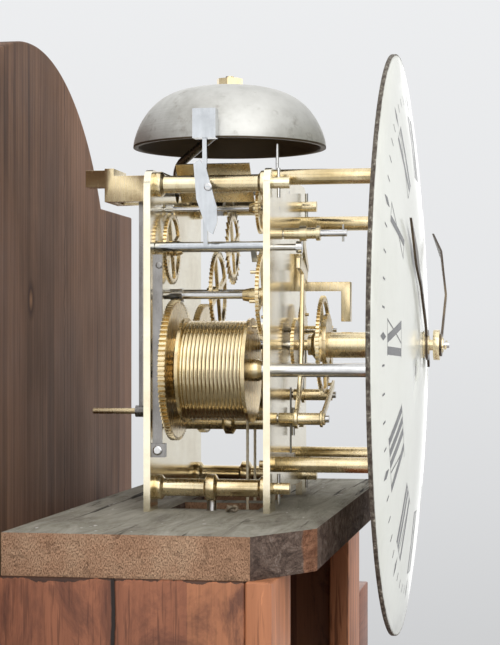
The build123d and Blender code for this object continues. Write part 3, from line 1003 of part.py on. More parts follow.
# Springs: a steel leaf behind the hammer's arbor, and a wire that presses on the rack
SPRING_X, SPRING_T, SPRING_LOW, SPRING_TOP = -60.0, 1.0, -50.0, 46.0
SPRING_FOOT_H = 7.0
leaf_spring = board(
    SPRING_X - SPRING_T, SPRING_X, INSIDE_D + 0.5, GREAT_D - 0.5, DIAL_Z + SPRING_LOW, DIAL_Z + SPRING_TOP
)
leaf_spring += board(
    SPRING_X - 2.5 * SPRING_T, SPRING_X + 3 * SPRING_T, INSIDE_D, INSIDE_D + SPRING_FOOT_H,
    DIAL_Z + SPRING_LOW - SPRING_FOOT_H, DIAL_Z + SPRING_LOW,
)
WIRE_X, WIRE_LOW, WIRE_TOP, WIRE_R, WIRE_OUT = -31.0, -56.0, -22.0, 0.5, 5.5
BLOCK_W, BLOCK_OUT = 6.0, 7.5
wire_foot = point(WIRE_X, WIRE_LOW, FRONT_D + WIRE_OUT)
rack_wire = Pos(*wire_foot) * Cylinder(WIRE_R, WIRE_TOP - WIRE_LOW, align=UP)
block_side = WIRE_X - BLOCK_W / 2
rack_wire += board(
    block_side, block_side + BLOCK_W, FRONT_D, FRONT_D + BLOCK_OUT,
    DIAL_Z + WIRE_LOW - BLOCK_W, DIAL_Z + WIRE_LOW,
)
save("strike_springs", leaf_spring, rack_wire)

# Weights, pulleys and lines, with the weights run down to the foot of the case
travel = WINDING_TURNS * math.pi * LINE_PITCH_R
PULLEY_Z = SEAT_LOW - WOUND_GAP - PULLEY_RIM_R - travel
AXLE_R, STIRRUP_T, STIRRUP_HALF, STIRRUP_GAP = 2.5, 1.8, 5.0, 0.6
GROOVE_HALF, SHANK_R, WEIGHT_EDGE = 1.2, 2.2, 5.0
axle_half = PULLEY_T / 2 + STIRRUP_GAP + STIRRUP_T
stirrup_low = PULLEY_Z - PULLEY_RIM_R - 8
line_y = FACE_Y - LINE_D
falls = {"going": (going_fall_x, going_fixed_x), "strike": (strike_fall_x, strike_fixed_x)}
for name, (fall_x, fixed_x) in falls.items():
    x = (fall_x + fixed_x) / 2
    h = PULLEY_Z - DIAL_Z
    back_d, front_d = LINE_D - PULLEY_T / 2, LINE_D + PULLEY_T / 2
    save(f"{name}_pulley", turned(x, h, [
        (back_d, AXLE_R + FIT), (back_d, PULLEY_RIM_R), (LINE_D - GROOVE_HALF, PULLEY_R),
        (LINE_D + GROOVE_HALF, PULLEY_R), (front_d, PULLEY_RIM_R), (front_d, AXLE_R + FIT),
    ]))
    stirrup = rod(x, h, LINE_D - axle_half, LINE_D + axle_half, AXLE_R)
    sides = (x - STIRRUP_HALF, x + STIRRUP_HALF)
    for d0 in (LINE_D - axle_half, LINE_D + axle_half - STIRRUP_T):
        stirrup += board(*sides, d0, d0 + STIRRUP_T, stirrup_low, PULLEY_Z + 6)
    shank_top = stirrup_low - 3
    stirrup += board(*sides, LINE_D - axle_half, LINE_D + axle_half, shank_top, stirrup_low)
    top = PULLEY_Z - WEIGHT_DROP
    low = top - WEIGHT_L
    weight = upright(x, LINE_D, [
        (0, shank_top), (SHANK_R, shank_top), (SHANK_R, top), (WEIGHT_R - WEIGHT_EDGE, top),
        (WEIGHT_R, top - WEIGHT_EDGE), (WEIGHT_R, low + 3), (WEIGHT_R - 3, low), (0, low),
    ])
    save(f"{name}_weight", stirrup, weight)
    barrel_fall = Cylinder(LINE_R, DIAL_Z - WINDING_DROP - PULLEY_Z, align=UP)
    save(f"{name}_barrel_fall", Pos(fall_x, line_y, PULLEY_Z) * barrel_fall)
    fixed_fall = Cylinder(LINE_R, SEAT_TOP - PULLEY_Z, align=UP)
    save(f"{name}_fixed_fall", Pos(fixed_x, line_y, PULLEY_Z) * fixed_fall)
    start, end = (fall_x, line_y, PULLEY_Z), (fixed_x, line_y, PULLEY_Z)
    loop_path = ThreePointArc(start, (x, line_y, PULLEY_Z - PULLEY_PITCH_R), end)
    save(f"{name}_line_loop", sweep(Plane(start, z_dir=(0, 0, -1)) * Circle(LINE_R), path=loop_path))
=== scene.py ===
import math

import bmesh
import bpy
import numpy as np
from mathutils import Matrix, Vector


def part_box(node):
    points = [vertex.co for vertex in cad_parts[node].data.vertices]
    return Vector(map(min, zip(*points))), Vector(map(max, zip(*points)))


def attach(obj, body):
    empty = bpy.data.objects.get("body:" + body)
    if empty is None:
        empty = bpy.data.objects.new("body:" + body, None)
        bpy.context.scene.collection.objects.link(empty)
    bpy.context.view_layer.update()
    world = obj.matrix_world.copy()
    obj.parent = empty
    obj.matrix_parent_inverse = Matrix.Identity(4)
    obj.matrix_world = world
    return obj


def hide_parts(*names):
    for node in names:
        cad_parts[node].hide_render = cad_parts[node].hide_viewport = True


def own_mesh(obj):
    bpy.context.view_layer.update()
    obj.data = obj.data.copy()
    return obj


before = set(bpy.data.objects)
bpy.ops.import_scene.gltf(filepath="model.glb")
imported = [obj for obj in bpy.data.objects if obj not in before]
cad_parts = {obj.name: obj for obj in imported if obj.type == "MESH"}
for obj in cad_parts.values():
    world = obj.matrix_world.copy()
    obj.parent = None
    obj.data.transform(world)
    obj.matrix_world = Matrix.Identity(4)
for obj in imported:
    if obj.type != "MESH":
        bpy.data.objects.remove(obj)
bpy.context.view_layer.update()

# Studio
# A pale seamless studio with broad soft lights. The camera stands level with the dial's
# centre, nearly a metre to the left of the movement, where the photograph was taken from.
MM = 0.001
FACE_Y = 0.1065  # the backboard's front face, in metres
DIAL_Z = 1.7  # the dial's centre, in metres
CAMERA_X, CAMERA_D = -0.924, 0.283
CAMERA_YAW = math.radians(10.0)
FOCAL_PX, FRAME_PX, HORIZON_PX = 1741.0, 645.0, 345.0
FILM_MM, NEAREST, FARTHEST = 24.0, 0.01, 60.0

scene = bpy.context.scene
scene.view_settings.view_transform = "Standard"
camera_data = bpy.data.cameras.new("camera")
camera = bpy.data.objects.new("camera", camera_data)
scene.collection.objects.link(camera)
camera.location = (CAMERA_X, FACE_Y - CAMERA_D, DIAL_Z)
look = Vector((math.cos(CAMERA_YAW), math.sin(CAMERA_YAW), 0))
camera.rotation_euler = look.to_track_quat("-Z", "Y").to_euler()
camera_data.sensor_fit = "VERTICAL"
camera_data.sensor_height = FILM_MM
camera_data.lens = FILM_MM * FOCAL_PX / FRAME_PX
camera_data.shift_y = (HORIZON_PX - FRAME_PX / 2) / FRAME_PX
camera_data.clip_start = NEAREST
camera_data.clip_end = FARTHEST
scene.camera = camera


class Nodes:
    """A tree of nodes: add() places one, join() links two sockets and put() fills one socket."""

    def __init__(self, tree):
        self.tree = tree

    def add(self, kind, **values):
        node = self.tree.nodes.new(kind)
        for key, value in values.items():
            setattr(node, key, value)
        return node

    def join(self, out, socket):
        self.tree.links.new(out, socket)

    def put(self, value, socket):
        """Fills a socket with another socket's output, a colour or a number."""
        if isinstance(value, bpy.types.NodeSocket):
            self.join(value, socket)
        elif isinstance(value, tuple):
            socket.default_value = (*value, 1)
        else:
            socket.default_value = value

    def ramp(self, value, stops):
        """Colours laid along a value, from a list of places and colours."""
        node = self.add("ShaderNodeValToRGB")
        points = node.color_ramp.elements
        while len(points) < len(stops):
            points.new(0.5)
        for point, (at, colour) in zip(points, stops):
            point.position = at
            point.color = (*colour, 1)
        self.join(value, node.inputs["Fac"])
        return node.outputs["Color"]

    def maths(self, operation, first, second=0.0, *third):
        node = self.add("ShaderNodeMath", operation=operation)
        for value, socket in zip((first, second, *third), node.inputs):
            self.put(value, socket)
        return node.outputs[0]

    def coordinate(self, vector, axis):
        """One coordinate of a vector."""
        node = self.add("ShaderNodeSeparateXYZ")
        self.join(vector, node.inputs[0])
        return node.outputs[axis]


class Finish(Nodes):
    """A material's nodes. Places, noises and masks lead to one colour, one roughness and one bump."""

    def __init__(self, name):
        self.material = bpy.data.materials.new(name)
        self.material.use_nodes = True
        super().__init__(self.material.node_tree)
        self.surface = self.tree.nodes["Principled BSDF"]

    def place(self, scale=(1, 1, 1), turn=(0, 0, 0), move=(0, 0, 0)):
        """Object coordinates, scaled, turned and moved."""
        mapping = self.add("ShaderNodeMapping")
        mapping.inputs["Scale"].default_value = scale
        mapping.inputs["Rotation"].default_value = turn
        mapping.inputs["Location"].default_value = move
        self.join(self.add("ShaderNodeTexCoord").outputs["Object"], mapping.inputs["Vector"])
        return mapping.outputs["Vector"]

    def facing(self, axis):
        """How much the surface faces along an axis, from -1 to 1."""
        return self.coordinate(self.add("ShaderNodeNewGeometry").outputs["Normal"], axis)

    def noise(self, where, scale, detail=4.0, rough=0.55, distort=0.0):
        node = self.add("ShaderNodeTexNoise")
        node.inputs["Scale"].default_value = scale
        node.inputs["Detail"].default_value = detail
        node.inputs["Roughness"].default_value = rough
        node.inputs["Distortion"].default_value = distort
        self.join(where, node.inputs["Vector"])
        return node.outputs["Fac"]

    def mask(self, value, *stops):
        """A grey laid along a value, from pairs of a place and a level."""
        return self.ramp(value, [(at, (level, level, level)) for at, level in stops])

    def mix(self, fac, under, over):
        node = self.add("ShaderNodeMix", data_type="RGBA", blend_type="MIX")
        for value, socket in ((fac, node.inputs[0]), (under, node.inputs[6]), (over, node.inputs[7])):
            self.put(value, socket)
        return node.outputs[2]

    def layer(self, under, over, value, *stops):
        """One colour laid over another where the mask of a value is light."""
        return self.mix(self.mask(value, *stops), under, over)

    def span(self, value, low, high):
        """The value, from 0 to 1, laid out from low to high."""
        node = self.add("ShaderNodeMapRange")
        self.join(value, node.inputs["Value"])
        node.inputs["To Min"].default_value = low
        node.inputs["To Max"].default_value = high
        return node.outputs["Result"]

    def bump(self, height, depth):
        """Bump whose full height is depth, in metres."""
        node = self.add("ShaderNodeBump")
        node.inputs["Strength"].default_value = 1.0
        node.inputs["Distance"].default_value = depth
        self.join(height, node.inputs["Height"])
        self.join(node.outputs["Normal"], self.surface.inputs["Normal"])

    def paint(self, colour, rough, metal=0.0, gloss=0.5):
        self.put(colour, self.surface.inputs["Base Color"])
        self.put(rough, self.surface.inputs["Roughness"])
        self.put(metal, self.surface.inputs["Metallic"])
        self.surface.inputs["Specular IOR Level"].default_value = gloss
        return self.material


def soft_light(name, place, aim_z, size, watts):
    """A square area light at a place, aimed at a height on the clock's middle line."""
    data = bpy.data.lights.new(name, "AREA")
    data.shape = "SQUARE"
    data.size = size
    data.energy = watts
    lamp = bpy.data.objects.new(name, data)
    scene.collection.objects.link(lamp)
    lamp.location = place
    lamp.rotation_euler = (Vector((0, 0, aim_z)) - Vector(place)).to_track_quat("-Z", "Y").to_euler()


soft_light("key light", (-2.3, -1.2, 3.2), aim_z=1.6, size=3.4, watts=54)
soft_light("top light", (-0.4, 0.0, 4.4), aim_z=1.6, size=5.0, watts=44)
soft_light("left fill", (-3.0, 1.2, 1.9), aim_z=1.5, size=2.6, watts=13)
soft_light("front light", (1.2, -3.2, 2.0), aim_z=1.1, size=2.6, watts=34)
soft_light("right light", (2.8, 0.8, 2.2), aim_z=1.4, size=2.4, watts=14)

# The backdrop's tones run from straight down to straight up, palest above the horizon.
BACKDROP = [(0.0, 0.74), (0.30, 0.66), (0.41, 0.62), (0.46, 0.72)]
BACKDROP += [(0.51, 0.80), (0.60, 0.86), (0.80, 0.84), (1.0, 0.9)]
BACKDROP_TINT = (0.985, 0.995, 1.01)
AIR_COLOUR, AIR_STRENGTH = (0.96, 0.98, 1.0), 0.56
world = bpy.data.worlds.new("studio air")
scene.world = world
world.use_nodes = True
air = Nodes(world.node_tree)
air.tree.nodes.clear()
rays = air.add("ShaderNodeLightPath").outputs
looked_at = air.maths("MAXIMUM", rays["Is Camera Ray"], rays["Is Glossy Ray"])
looked_at = air.maths("MAXIMUM", looked_at, rays["Is Transmission Ray"])
upward = air.coordinate(air.add("ShaderNodeTexCoord").outputs["Generated"], "Z")
backdrop_stops = [(at, tuple(tone * tint for tint in BACKDROP_TINT)) for at, tone in BACKDROP]
backdrop = air.add("ShaderNodeBackground")
air.join(air.ramp(air.maths("MULTIPLY_ADD", upward, 0.5, 0.5), backdrop_stops), backdrop.inputs["Color"])
plain_air = air.add("ShaderNodeBackground")
air.put(AIR_COLOUR, plain_air.inputs["Color"])
air.put(AIR_STRENGTH, plain_air.inputs["Strength"])
choice = air.add("ShaderNodeMixShader")
for out, socket in zip((looked_at, plain_air.outputs[0], backdrop.outputs[0]), choice.inputs):
    air.join(out, socket)
air.join(choice.outputs[0], air.add("ShaderNodeOutputWorld").inputs["Surface"])


def surface(name, points, faces, material, smooth=True):
    """A mesh object from an array of points and a list of faces."""
    mesh = bpy.data.meshes.new(name)
    mesh.from_pydata(points.tolist(), [], faces)
    mesh.materials.append(material)
    mesh.polygons.foreach_set("use_smooth", np.full(len(faces), smooth))
    mesh.update()
    piece = bpy.data.objects.new(name, mesh)
    scene.collection.objects.link(piece)
    return piece


FLOOR_HALF = 6.0
floor_paint = Finish("studio floor")
floor_tone = floor_paint.noise(floor_paint.place(), 1.5)
floor_paint.paint(floor_paint.mask(floor_tone, (0.3, 0.80), (0.7, 0.84)), 0.7)
floor_corners = FLOOR_HALF * np.array([(-1, -1, 0), (1, -1, 0), (1, 1, 0), (-1, 1, 0)])
floor = surface("floor", floor_corners, [[0, 1, 2, 3]], floor_paint.material)

# Case boards
# The case is of mahogany boards with an old shellac polish, dark where hands and dust have
# been. The boards are glued and nailed to each other, with the grain upright.
RED_LIGHT, RED_DARK = (0.340, 0.130, 0.066), (0.088, 0.026, 0.013)
FADED_LIGHT, FADED_DARK = (0.560, 0.230, 0.108), (0.150, 0.050, 0.024)
UPRIGHT, LEVEL = (60, 60, 3.2), (3.2, 60, 60)  # noise is stretched along the grain
PORES_FINER, PORE_DARKER, MIDDLE_LIFT, DUST_LIGHTER = 9, 0.45, 1.15, 1.35
RUBBED_LIGHTER, BRUISE_DARKER = 2.2, 0.5
SHINE_LOW, SHINE_HIGH, POLISH_GLOSS, GRAIN_DEEP = 0.30, 0.56, 0.3, 0.0003


def times(colour, factor):
    """Each value of a colour or a scale, multiplied."""
    return tuple(value * factor for value in colour)


def grain(wood, light, dark, along, rings=26.0):
    """Wood: long stretched figure, fine pores, rings and a slow change of tone.

    Returns its colour and its relief."""
    figure = wood.noise(wood.place(scale=along), 1.0, detail=6.0, rough=0.6, distort=0.8)
    pores = wood.noise(wood.place(scale=times(along, PORES_FINER)), 1.0, detail=3.0, rough=0.6)
    slow = wood.noise(wood.place(), 4.0, detail=3.0)
    wave = wood.add("ShaderNodeTexWave", wave_type="BANDS", bands_direction="X")
    for name, value in (("Scale", rings), ("Distortion", 9.0), ("Detail", 3.0), ("Detail Scale", 0.6)):
        wave.inputs[name].default_value = value
    wood.join(wood.place(scale=(1, 1, 0.05)), wave.inputs["Vector"])
    middle = tuple((a * MIDDLE_LIFT + b) / 2 for a, b in zip(light, dark))
    colour = wood.ramp(figure, [(0.30, dark), (0.5, middle), (0.72, light)])
    colour = wood.mix(wood.span(wave.outputs["Fac"], 0.0, 0.35), colour, dark)
    colour = wood.layer(colour, times(dark, PORE_DARKER), pores, (0.36, 0.75), (0.46, 0.0))
    colour = wood.layer(colour, times(light, DUST_LIGHTER), slow, (0.40, 0.0), (0.75, 0.5))
    relief = wood.maths("ADD", wood.maths("MULTIPLY", figure, 0.4), wood.maths("MULTIPLY", pores, 0.6))
    return colour, relief


def polished(name, light, dark, along=UPRIGHT):
    """A wood under polish, with bruises and rubbed places over its grain, not yet painted."""
    wood = Finish(name)
    colour, relief = grain(wood, light, dark, along)
    rubbed = wood.noise(wood.place(scale=(1, 1, 0.6)), 38.0, detail=7.0, rough=0.7, distort=1.2)
    colour = wood.layer(colour, times(light, RUBBED_LIGHTER), rubbed, (0.60, 0.0), (0.76, 0.45))
    colour = wood.layer(colour, times(dark, BRUISE_DARKER), rubbed, (0.26, 0.55), (0.36, 0.0))
    return wood, colour, relief


def finish_wood(wood, colour, relief):
    """The last coat: the colour, a shine that comes and goes, and the relief of the grain."""
    shine = wood.span(wood.noise(wood.place(), 9.0, detail=5.0), SHINE_LOW, SHINE_HIGH)
    wood.paint(colour, shine, gloss=POLISH_GLOSS)
    wood.bump(relief, GRAIN_DEEP)
    return wood.material


mahogany = finish_wood(*polished("polished mahogany", RED_LIGHT, RED_DARK))
faded_mahogany = finish_wood(*polished("faded mahogany of the stiles", FADED_LIGHT, FADED_DARK))
mahogany_cross = finish_wood(*polished("mahogany with level grain", RED_LIGHT, RED_DARK, LEVEL))

WELD_WITHIN, FLAT_WITHIN, SHARP_FROM = 1e-6, math.radians(0.3), math.radians(32)


def soften(node, width, segments=2):
    """Welds a node's triangles, rounds its sharp edges by a width and shades its curves smooth."""
    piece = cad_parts[node]
    piece.data.polygons.foreach_set("use_smooth", np.full(len(piece.data.polygons), True))
    weld = piece.modifiers.new("weld", "WELD")
    weld.merge_threshold = WELD_WITHIN
    flat = piece.modifiers.new("flat faces whole", "DECIMATE")
    flat.decimate_type = "DISSOLVE"
    flat.angle_limit = FLAT_WITHIN
    if width:
        round_over = piece.modifiers.new("round over", "BEVEL")
        round_over.width = width * MM
        round_over.segments = segments
        round_over.limit_method = "ANGLE"
        round_over.angle_limit = SHARP_FROM
        round_over.harden_normals = True
        round_over.use_clamp_overlap = True
    else:
        crease = piece.modifiers.new("crease", "EDGE_SPLIT")
        crease.split_angle = SHARP_FROM


def cover(node, *materials):
    """Gives a CAD node one or more materials in place of its own."""
    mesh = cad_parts[node].data
    mesh.materials.clear()
    for material in materials:
        mesh.materials.append(material)
    return mesh


def dress(nodes, material, width, segments=2):
    """Gives CAD nodes a material and edges softened by a width in millimetres."""
    for node in nodes:
        cover(node, material)
        soften(node, width, segments)


dress(["front_stiles"], faded_mahogany, 1.2)
dress(["trunk_door"], mahogany, 1.2)
dress(["base_panels"], mahogany, 0)
dress(["trunk_rails", "hood_runners"], mahogany_cross, 1.0)
dress(["throat_moulding", "waist_moulding", "plinth"], mahogany_cross, 0.8)

# Cheeks of the trunk
# Each cheek is of two boards glued edge to edge, the front one paler. The back one is cracked
# along its height, and both are stained and scratched. An uneven dark band along their top edge
# is painted shadow, cast by the seatboard that overhangs them.
CRACK_D, CRACK_HALF, JOINT_D, JOINT_WANDER = 88.5, 0.0007, 122.2, 0.0004
CHEEK_TOP, SEAT_SHADOW_DOWN, SHADOW_EDGE_LOW, SHADOW_EDGE_HIGH = 1596.0, 0.0035, -0.007, 0.003
PALE_BOARD, CHEEK_STAIN, SCRATCH = (0.52, 0.215, 0.095), (0.075, 0.026, 0.017), (0.50, 0.40, 0.34)
SEAT_SHADOW_DARK, CRACK_DARK = (0.035, 0.017, 0.011), (0.012, 0.006, 0.004)


def wander(wood, axis, by=0.0012):
    """A coordinate that wanders by a little from place to place."""
    bend = wood.noise(wood.place(scale=(2, 2, 5)), 9.0, detail=5.0)
    return wood.maths("ADD", wood.coordinate(wood.place(), axis), wood.span(bend, -by, by))


def line_at(wood, coordinate, at, half_width):
    """The mask of a thin line where a coordinate has one value."""
    off = wood.maths("ABSOLUTE", wood.maths("SUBTRACT", coordinate, at))
    mask = wood.add("ShaderNodeMapRange")
    wood.join(off, mask.inputs["Value"])
    limits = (("From Min", half_width), ("From Max", half_width * 2), ("To Min", 1.0), ("To Max", 0.0))
    for name, value in limits:
        mask.inputs[name].default_value = value
    return mask.outputs["Result"]


cheek, cheek_colour, cheek_relief = polished("cheek mahogany", RED_LIGHT, RED_DARK)
front_board = cheek.maths("LESS_THAN", wander(cheek, "Y", JOINT_WANDER), FACE_Y - JOINT_D * MM)
cheek_colour = cheek.mix(cheek.maths("MULTIPLY", front_board, 0.42), cheek_colour, PALE_BOARD)
stains = cheek.noise(cheek.place(scale=(1, 1, 0.5)), 26.0, detail=8.0, rough=0.72, distort=0.8)
cheek_colour = cheek.layer(cheek_colour, CHEEK_STAIN, stains, (0.36, 0.8), (0.50, 0.0))
slanting = cheek.place(scale=(1, 160, 12), turn=(0.5, 0, 0))
scratches = cheek.noise(slanting, 1.0, detail=4.0, rough=0.6, distort=0.3)
cheek_colour = cheek.layer(cheek_colour, SCRATCH, scratches, (0.72, 0.0), (0.75, 0.7))
# An uneven dark band just under the cheek's top edge is painted shadow of the overhanging seatboard.
shadow_edge = cheek.noise(cheek.place(scale=(1, 1, 0.4)), 70.0, detail=5.0)
shadow_edge = cheek.span(shadow_edge, SHADOW_EDGE_LOW, SHADOW_EDGE_HIGH)
shadow_edge_z = cheek.maths("ADD", cheek.coordinate(cheek.place(), "Z"), shadow_edge)
seat_shadow = cheek.maths("GREATER_THAN", shadow_edge_z, CHEEK_TOP * MM - SEAT_SHADOW_DOWN)
cheek_colour = cheek.mix(cheek.maths("MULTIPLY", seat_shadow, 0.9), cheek_colour, SEAT_SHADOW_DARK)
crack = line_at(cheek, wander(cheek, "Y"), FACE_Y - CRACK_D * MM, CRACK_HALF)
cheek_colour = cheek.mix(crack, cheek_colour, CRACK_DARK)
cheek_mahogany = finish_wood(cheek, cheek_colour, cheek.maths("SUBTRACT", cheek_relief, crack))
dress(["trunk_cheeks"], cheek_mahogany, 1.4)

# Backboard
# One wide board closes the back, with a half-round top that stood inside the hood. It is
# rough oak, stained nearly black, with a knot, a split and a strip glued on at the right.
ARCH_R, EAR_HALF, TRUNK_HALF, BASE_HALF, BOARD_T = 165.0, 221.0, 172.0, 205.0, 14.0
EAR_TOP, THROAT_LOW, BASE_TOP, PANEL_LOW = 1786.0, 1430.0, 480.0, 52.0
ARCH_STEPS, BOARD_EDGE, BOARD_SHARP_FROM = 65, 1.0, math.radians(40)
OAK_LIGHT, OAK_DARK = (0.265, 0.146, 0.088), (0.064, 0.031, 0.018)
OAK_GRIME, OAK_FADED, OAK_STRIP = (0.046, 0.024, 0.018), (0.27, 0.155, 0.112), (0.25, 0.15, 0.11)
OAK_CRACK, KNOT_DARK, KNOT_HEART = (0.018, 0.010, 0.008), (0.045, 0.018, 0.010), (0.42, 0.22, 0.11)
STRIP_X, SPLIT_X, STRIP_HALF, SPLIT_HALF, SPLIT_WANDER = 0.186, 0.058, 0.0006, 0.0004, 0.005
KNOT_X, KNOT_H, KNOT_STRETCH = -8.0, 24.6, 0.6
spread = math.asin((EAR_TOP - DIAL_Z / MM) / ARCH_R)
arch_turn = np.linspace(spread, math.pi - spread, ARCH_STEPS)
arch = np.stack([ARCH_R * np.cos(arch_turn), DIAL_Z / MM + ARCH_R * np.sin(arch_turn)], axis=1)
right = [(BASE_HALF, PANEL_LOW), (BASE_HALF, BASE_TOP), (TRUNK_HALF, BASE_TOP)]
right += [(TRUNK_HALF, THROAT_LOW), (EAR_HALF, THROAT_LOW), (EAR_HALF, EAR_TOP)]
left = [(-x, z) for x, z in reversed(right)]
rim = np.array(right + arch.tolist() + left)
oak = Finish("stained oak")
oak_colour, oak_relief = grain(oak, OAK_LIGHT, OAK_DARK, along=(120, 120, 1.8), rings=60.0)
oak_patch = oak.noise(oak.place(scale=(1, 1, 0.3)), 8.0, detail=9.0, rough=0.66, distort=0.5)
oak_colour = oak.layer(oak_colour, OAK_GRIME, oak_patch, (0.36, 0.6), (0.54, 0.0))
oak_colour = oak.layer(oak_colour, OAK_FADED, oak_patch, (0.52, 0.0), (0.74, 0.5))
strip_place = wander(oak, "X")
beyond_strip = oak.maths("MULTIPLY", oak.maths("GREATER_THAN", strip_place, STRIP_X), 0.35)
oak_colour = oak.mix(beyond_strip, oak_colour, OAK_STRIP)
strip_crack = line_at(oak, strip_place, STRIP_X, STRIP_HALF)
split_crack = line_at(oak, wander(oak, "X", SPLIT_WANDER), SPLIT_X, SPLIT_HALF)
oak_cracks = oak.maths("MULTIPLY", oak.maths("MAXIMUM", strip_crack, split_crack), 0.85)
oak_colour = oak.mix(oak_cracks, oak_colour, OAK_CRACK)
knot = oak.add("ShaderNodeVectorMath", operation="DISTANCE")
oak.join(oak.place(scale=(1, 1, KNOT_STRETCH)), knot.inputs[0])
knot.inputs[1].default_value = (KNOT_X * MM, FACE_Y, (DIAL_Z + KNOT_H * MM) * KNOT_STRETCH)
from_knot = knot.outputs["Value"]
oak_colour = oak.layer(oak_colour, KNOT_DARK, from_knot, (0.0, 1.0), (0.0042, 0.8), (0.0055, 0.0))
oak_colour = oak.layer(oak_colour, KNOT_HEART, from_knot, (0.0, 1.0), (0.0022, 1.0), (0.0032, 0.0))
oak.paint(oak_colour, oak.span(oak.noise(oak.place(), 14.0), 0.5, 0.8), gloss=0.18)
oak.bump(oak_relief, 0.0006)


def plank(name, outline, y_front, y_back, material):
    """A board from an outline of (x, z) millimetre points, between two Y places in metres."""
    count = len(outline)
    front = np.column_stack([outline[:, 0] * MM, np.full(count, y_front), outline[:, 1] * MM])
    back = front + np.array([0, y_back - y_front, 0])
    ring = np.arange(count)
    sides = np.stack([ring, ring + count, (ring + 1) % count + count, (ring + 1) % count], axis=1)
    faces = [ring.tolist(), (ring[::-1] + count).tolist()] + sides.tolist()
    return surface(name, np.vstack([front, back]), faces, material, smooth=False)


backboard = plank("backboard_oak", rim, FACE_Y, FACE_Y + BOARD_T * MM, oak.material)
worn_edge = backboard.modifiers.new("worn edge", "BEVEL")
worn_edge.width = BOARD_EDGE * MM
worn_edge.segments = 2
worn_edge.limit_method = "ANGLE"
worn_edge.angle_limit = BOARD_SHARP_FROM
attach(backboard, "case")
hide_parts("backboard")

# Seatboard
# A bare softwood board, grey with age and dust on top and browner where it was sawn. It
# lies loose across the tops of the cheeks and carries the movement.
PINE_LIGHT, PINE_DARK = (0.36, 0.32, 0.265), (0.10, 0.078, 0.058)
DUST_TONES = [(0.3, (0.19, 0.17, 0.14)), (0.5, (0.40, 0.378, 0.31)), (0.72, (0.54, 0.525, 0.455))]
SCRAPED_TONES = [(0.36, (0.17, 0.148, 0.118)), (0.50, (0.50, 0.470, 0.385)), (0.66, (0.80, 0.775, 0.68))]
SAWN_TONES = [(0.3, (0.27, 0.150, 0.088)), (0.52, (0.47, 0.275, 0.168)), (0.7, (0.57, 0.385, 0.25))]
FRONT_TONES = [(0.38, (0.065, 0.043, 0.034)), (0.55, (0.170, 0.118, 0.092)), (0.74, (0.34, 0.27, 0.225))]
TORN_TONES = [(0.4, (0.20, 0.085, 0.045)), (0.65, (0.42, 0.20, 0.11))]
PINE_CRACK, SAW_PIT = (0.035, 0.026, 0.019), (0.14, 0.062, 0.030)
RUBBED_BROWN, FLECK = (0.30, 0.135, 0.065), (0.72, 0.70, 0.66)
TORN_X, TORN_WANDER, TORN_SCALE = -132.0, 0.004, 100.0  # the scale lays metres out for a ramp
PINE_ROUGH, PINE_GLOSS, PINE_DEEP = 0.86, 0.15, 0.0009
pine = Finish("bare old pine")
pine_colour, pine_relief = grain(pine, PINE_LIGHT, PINE_DARK, along=(3.5, 90, 90), rings=34.0)
dust = pine.noise(pine.place(), 22.0, detail=6.0, rough=0.65)
tracks = pine.noise(pine.place(scale=(7, 150, 150)), 1.0, detail=5.0, rough=0.6, distort=0.4)
cracks = pine.mask(tracks, (0.33, 1.0), (0.40, 0.0))
scraped = pine.noise(pine.place(scale=(12, 60, 60)), 1.0, detail=8.0, rough=0.75, distort=1.2)
seat_top = pine.mix(0.62, pine_colour, pine.ramp(dust, DUST_TONES))
seat_top = pine.mix(0.42, seat_top, pine.ramp(scraped, SCRAPED_TONES))
seat_top = pine.mix(cracks, seat_top, PINE_CRACK)
flecks = pine.noise(pine.place(scale=(1, 2.2, 1)), 95.0, detail=2.0)
seat_top = pine.layer(seat_top, FLECK, flecks, (0.71, 0.0), (0.735, 1.0))
pits = pine.noise(pine.place(scale=(1, 1.5, 0.6)), 1700.0, detail=4.0, rough=0.75)
pit_mask = pine.mask(pits, (0.38, 0.75), (0.49, 0.0))
seat_end = pine.mix(pit_mask, pine.ramp(dust, SAWN_TONES), SAW_PIT)
scuffs = pine.noise(pine.place(scale=(1, 1, 2)), 70.0, detail=7.0, rough=0.75, distort=1.5)
torn_edge = pine.span(pine.noise(pine.place(), 60.0, detail=4.0), -TORN_WANDER, TORN_WANDER)
from_torn = pine.maths("SUBTRACT", pine.coordinate(pine.place(), "X"), TORN_X * MM)
from_torn = pine.maths("ABSOLUTE", pine.maths("ADD", torn_edge, from_torn))
torn = pine.mask(pine.maths("MULTIPLY", from_torn, TORN_SCALE), (0.50, 0.85), (0.62, 0.0))
seat_front = pine.mix(torn, pine.ramp(scuffs, FRONT_TONES), pine.ramp(scuffs, TORN_TONES))
seat_front = pine.layer(seat_front, RUBBED_BROWN, dust, (0.60, 0.0), (0.64, 0.8))
end_mask = pine.mask(pine.maths("ABSOLUTE", pine.facing("X")), (0.80, 0.0), (0.92, 1.0))
top_mask = pine.mask(pine.facing("Z"), (0.35, 0.0), (0.7, 1.0))
seat_colour = pine.mix(top_mask, pine.mix(end_mask, seat_front, seat_end), seat_top)
pine.paint(seat_colour, PINE_ROUGH, gloss=PINE_GLOSS)
seat_height = pine.maths("ADD", pine_relief, pine.maths("MULTIPLY", dust, 0.6))
seat_height = pine.maths("SUBTRACT", seat_height, pine.maths("MULTIPLY", cracks, 1.2))
seat_height = pine.maths("SUBTRACT", seat_height, pine.maths("MULTIPLY", pit_mask, 0.5))
pine.bump(seat_height, PINE_DEEP)
dress(["seatboard"], pine.material, 0.9)

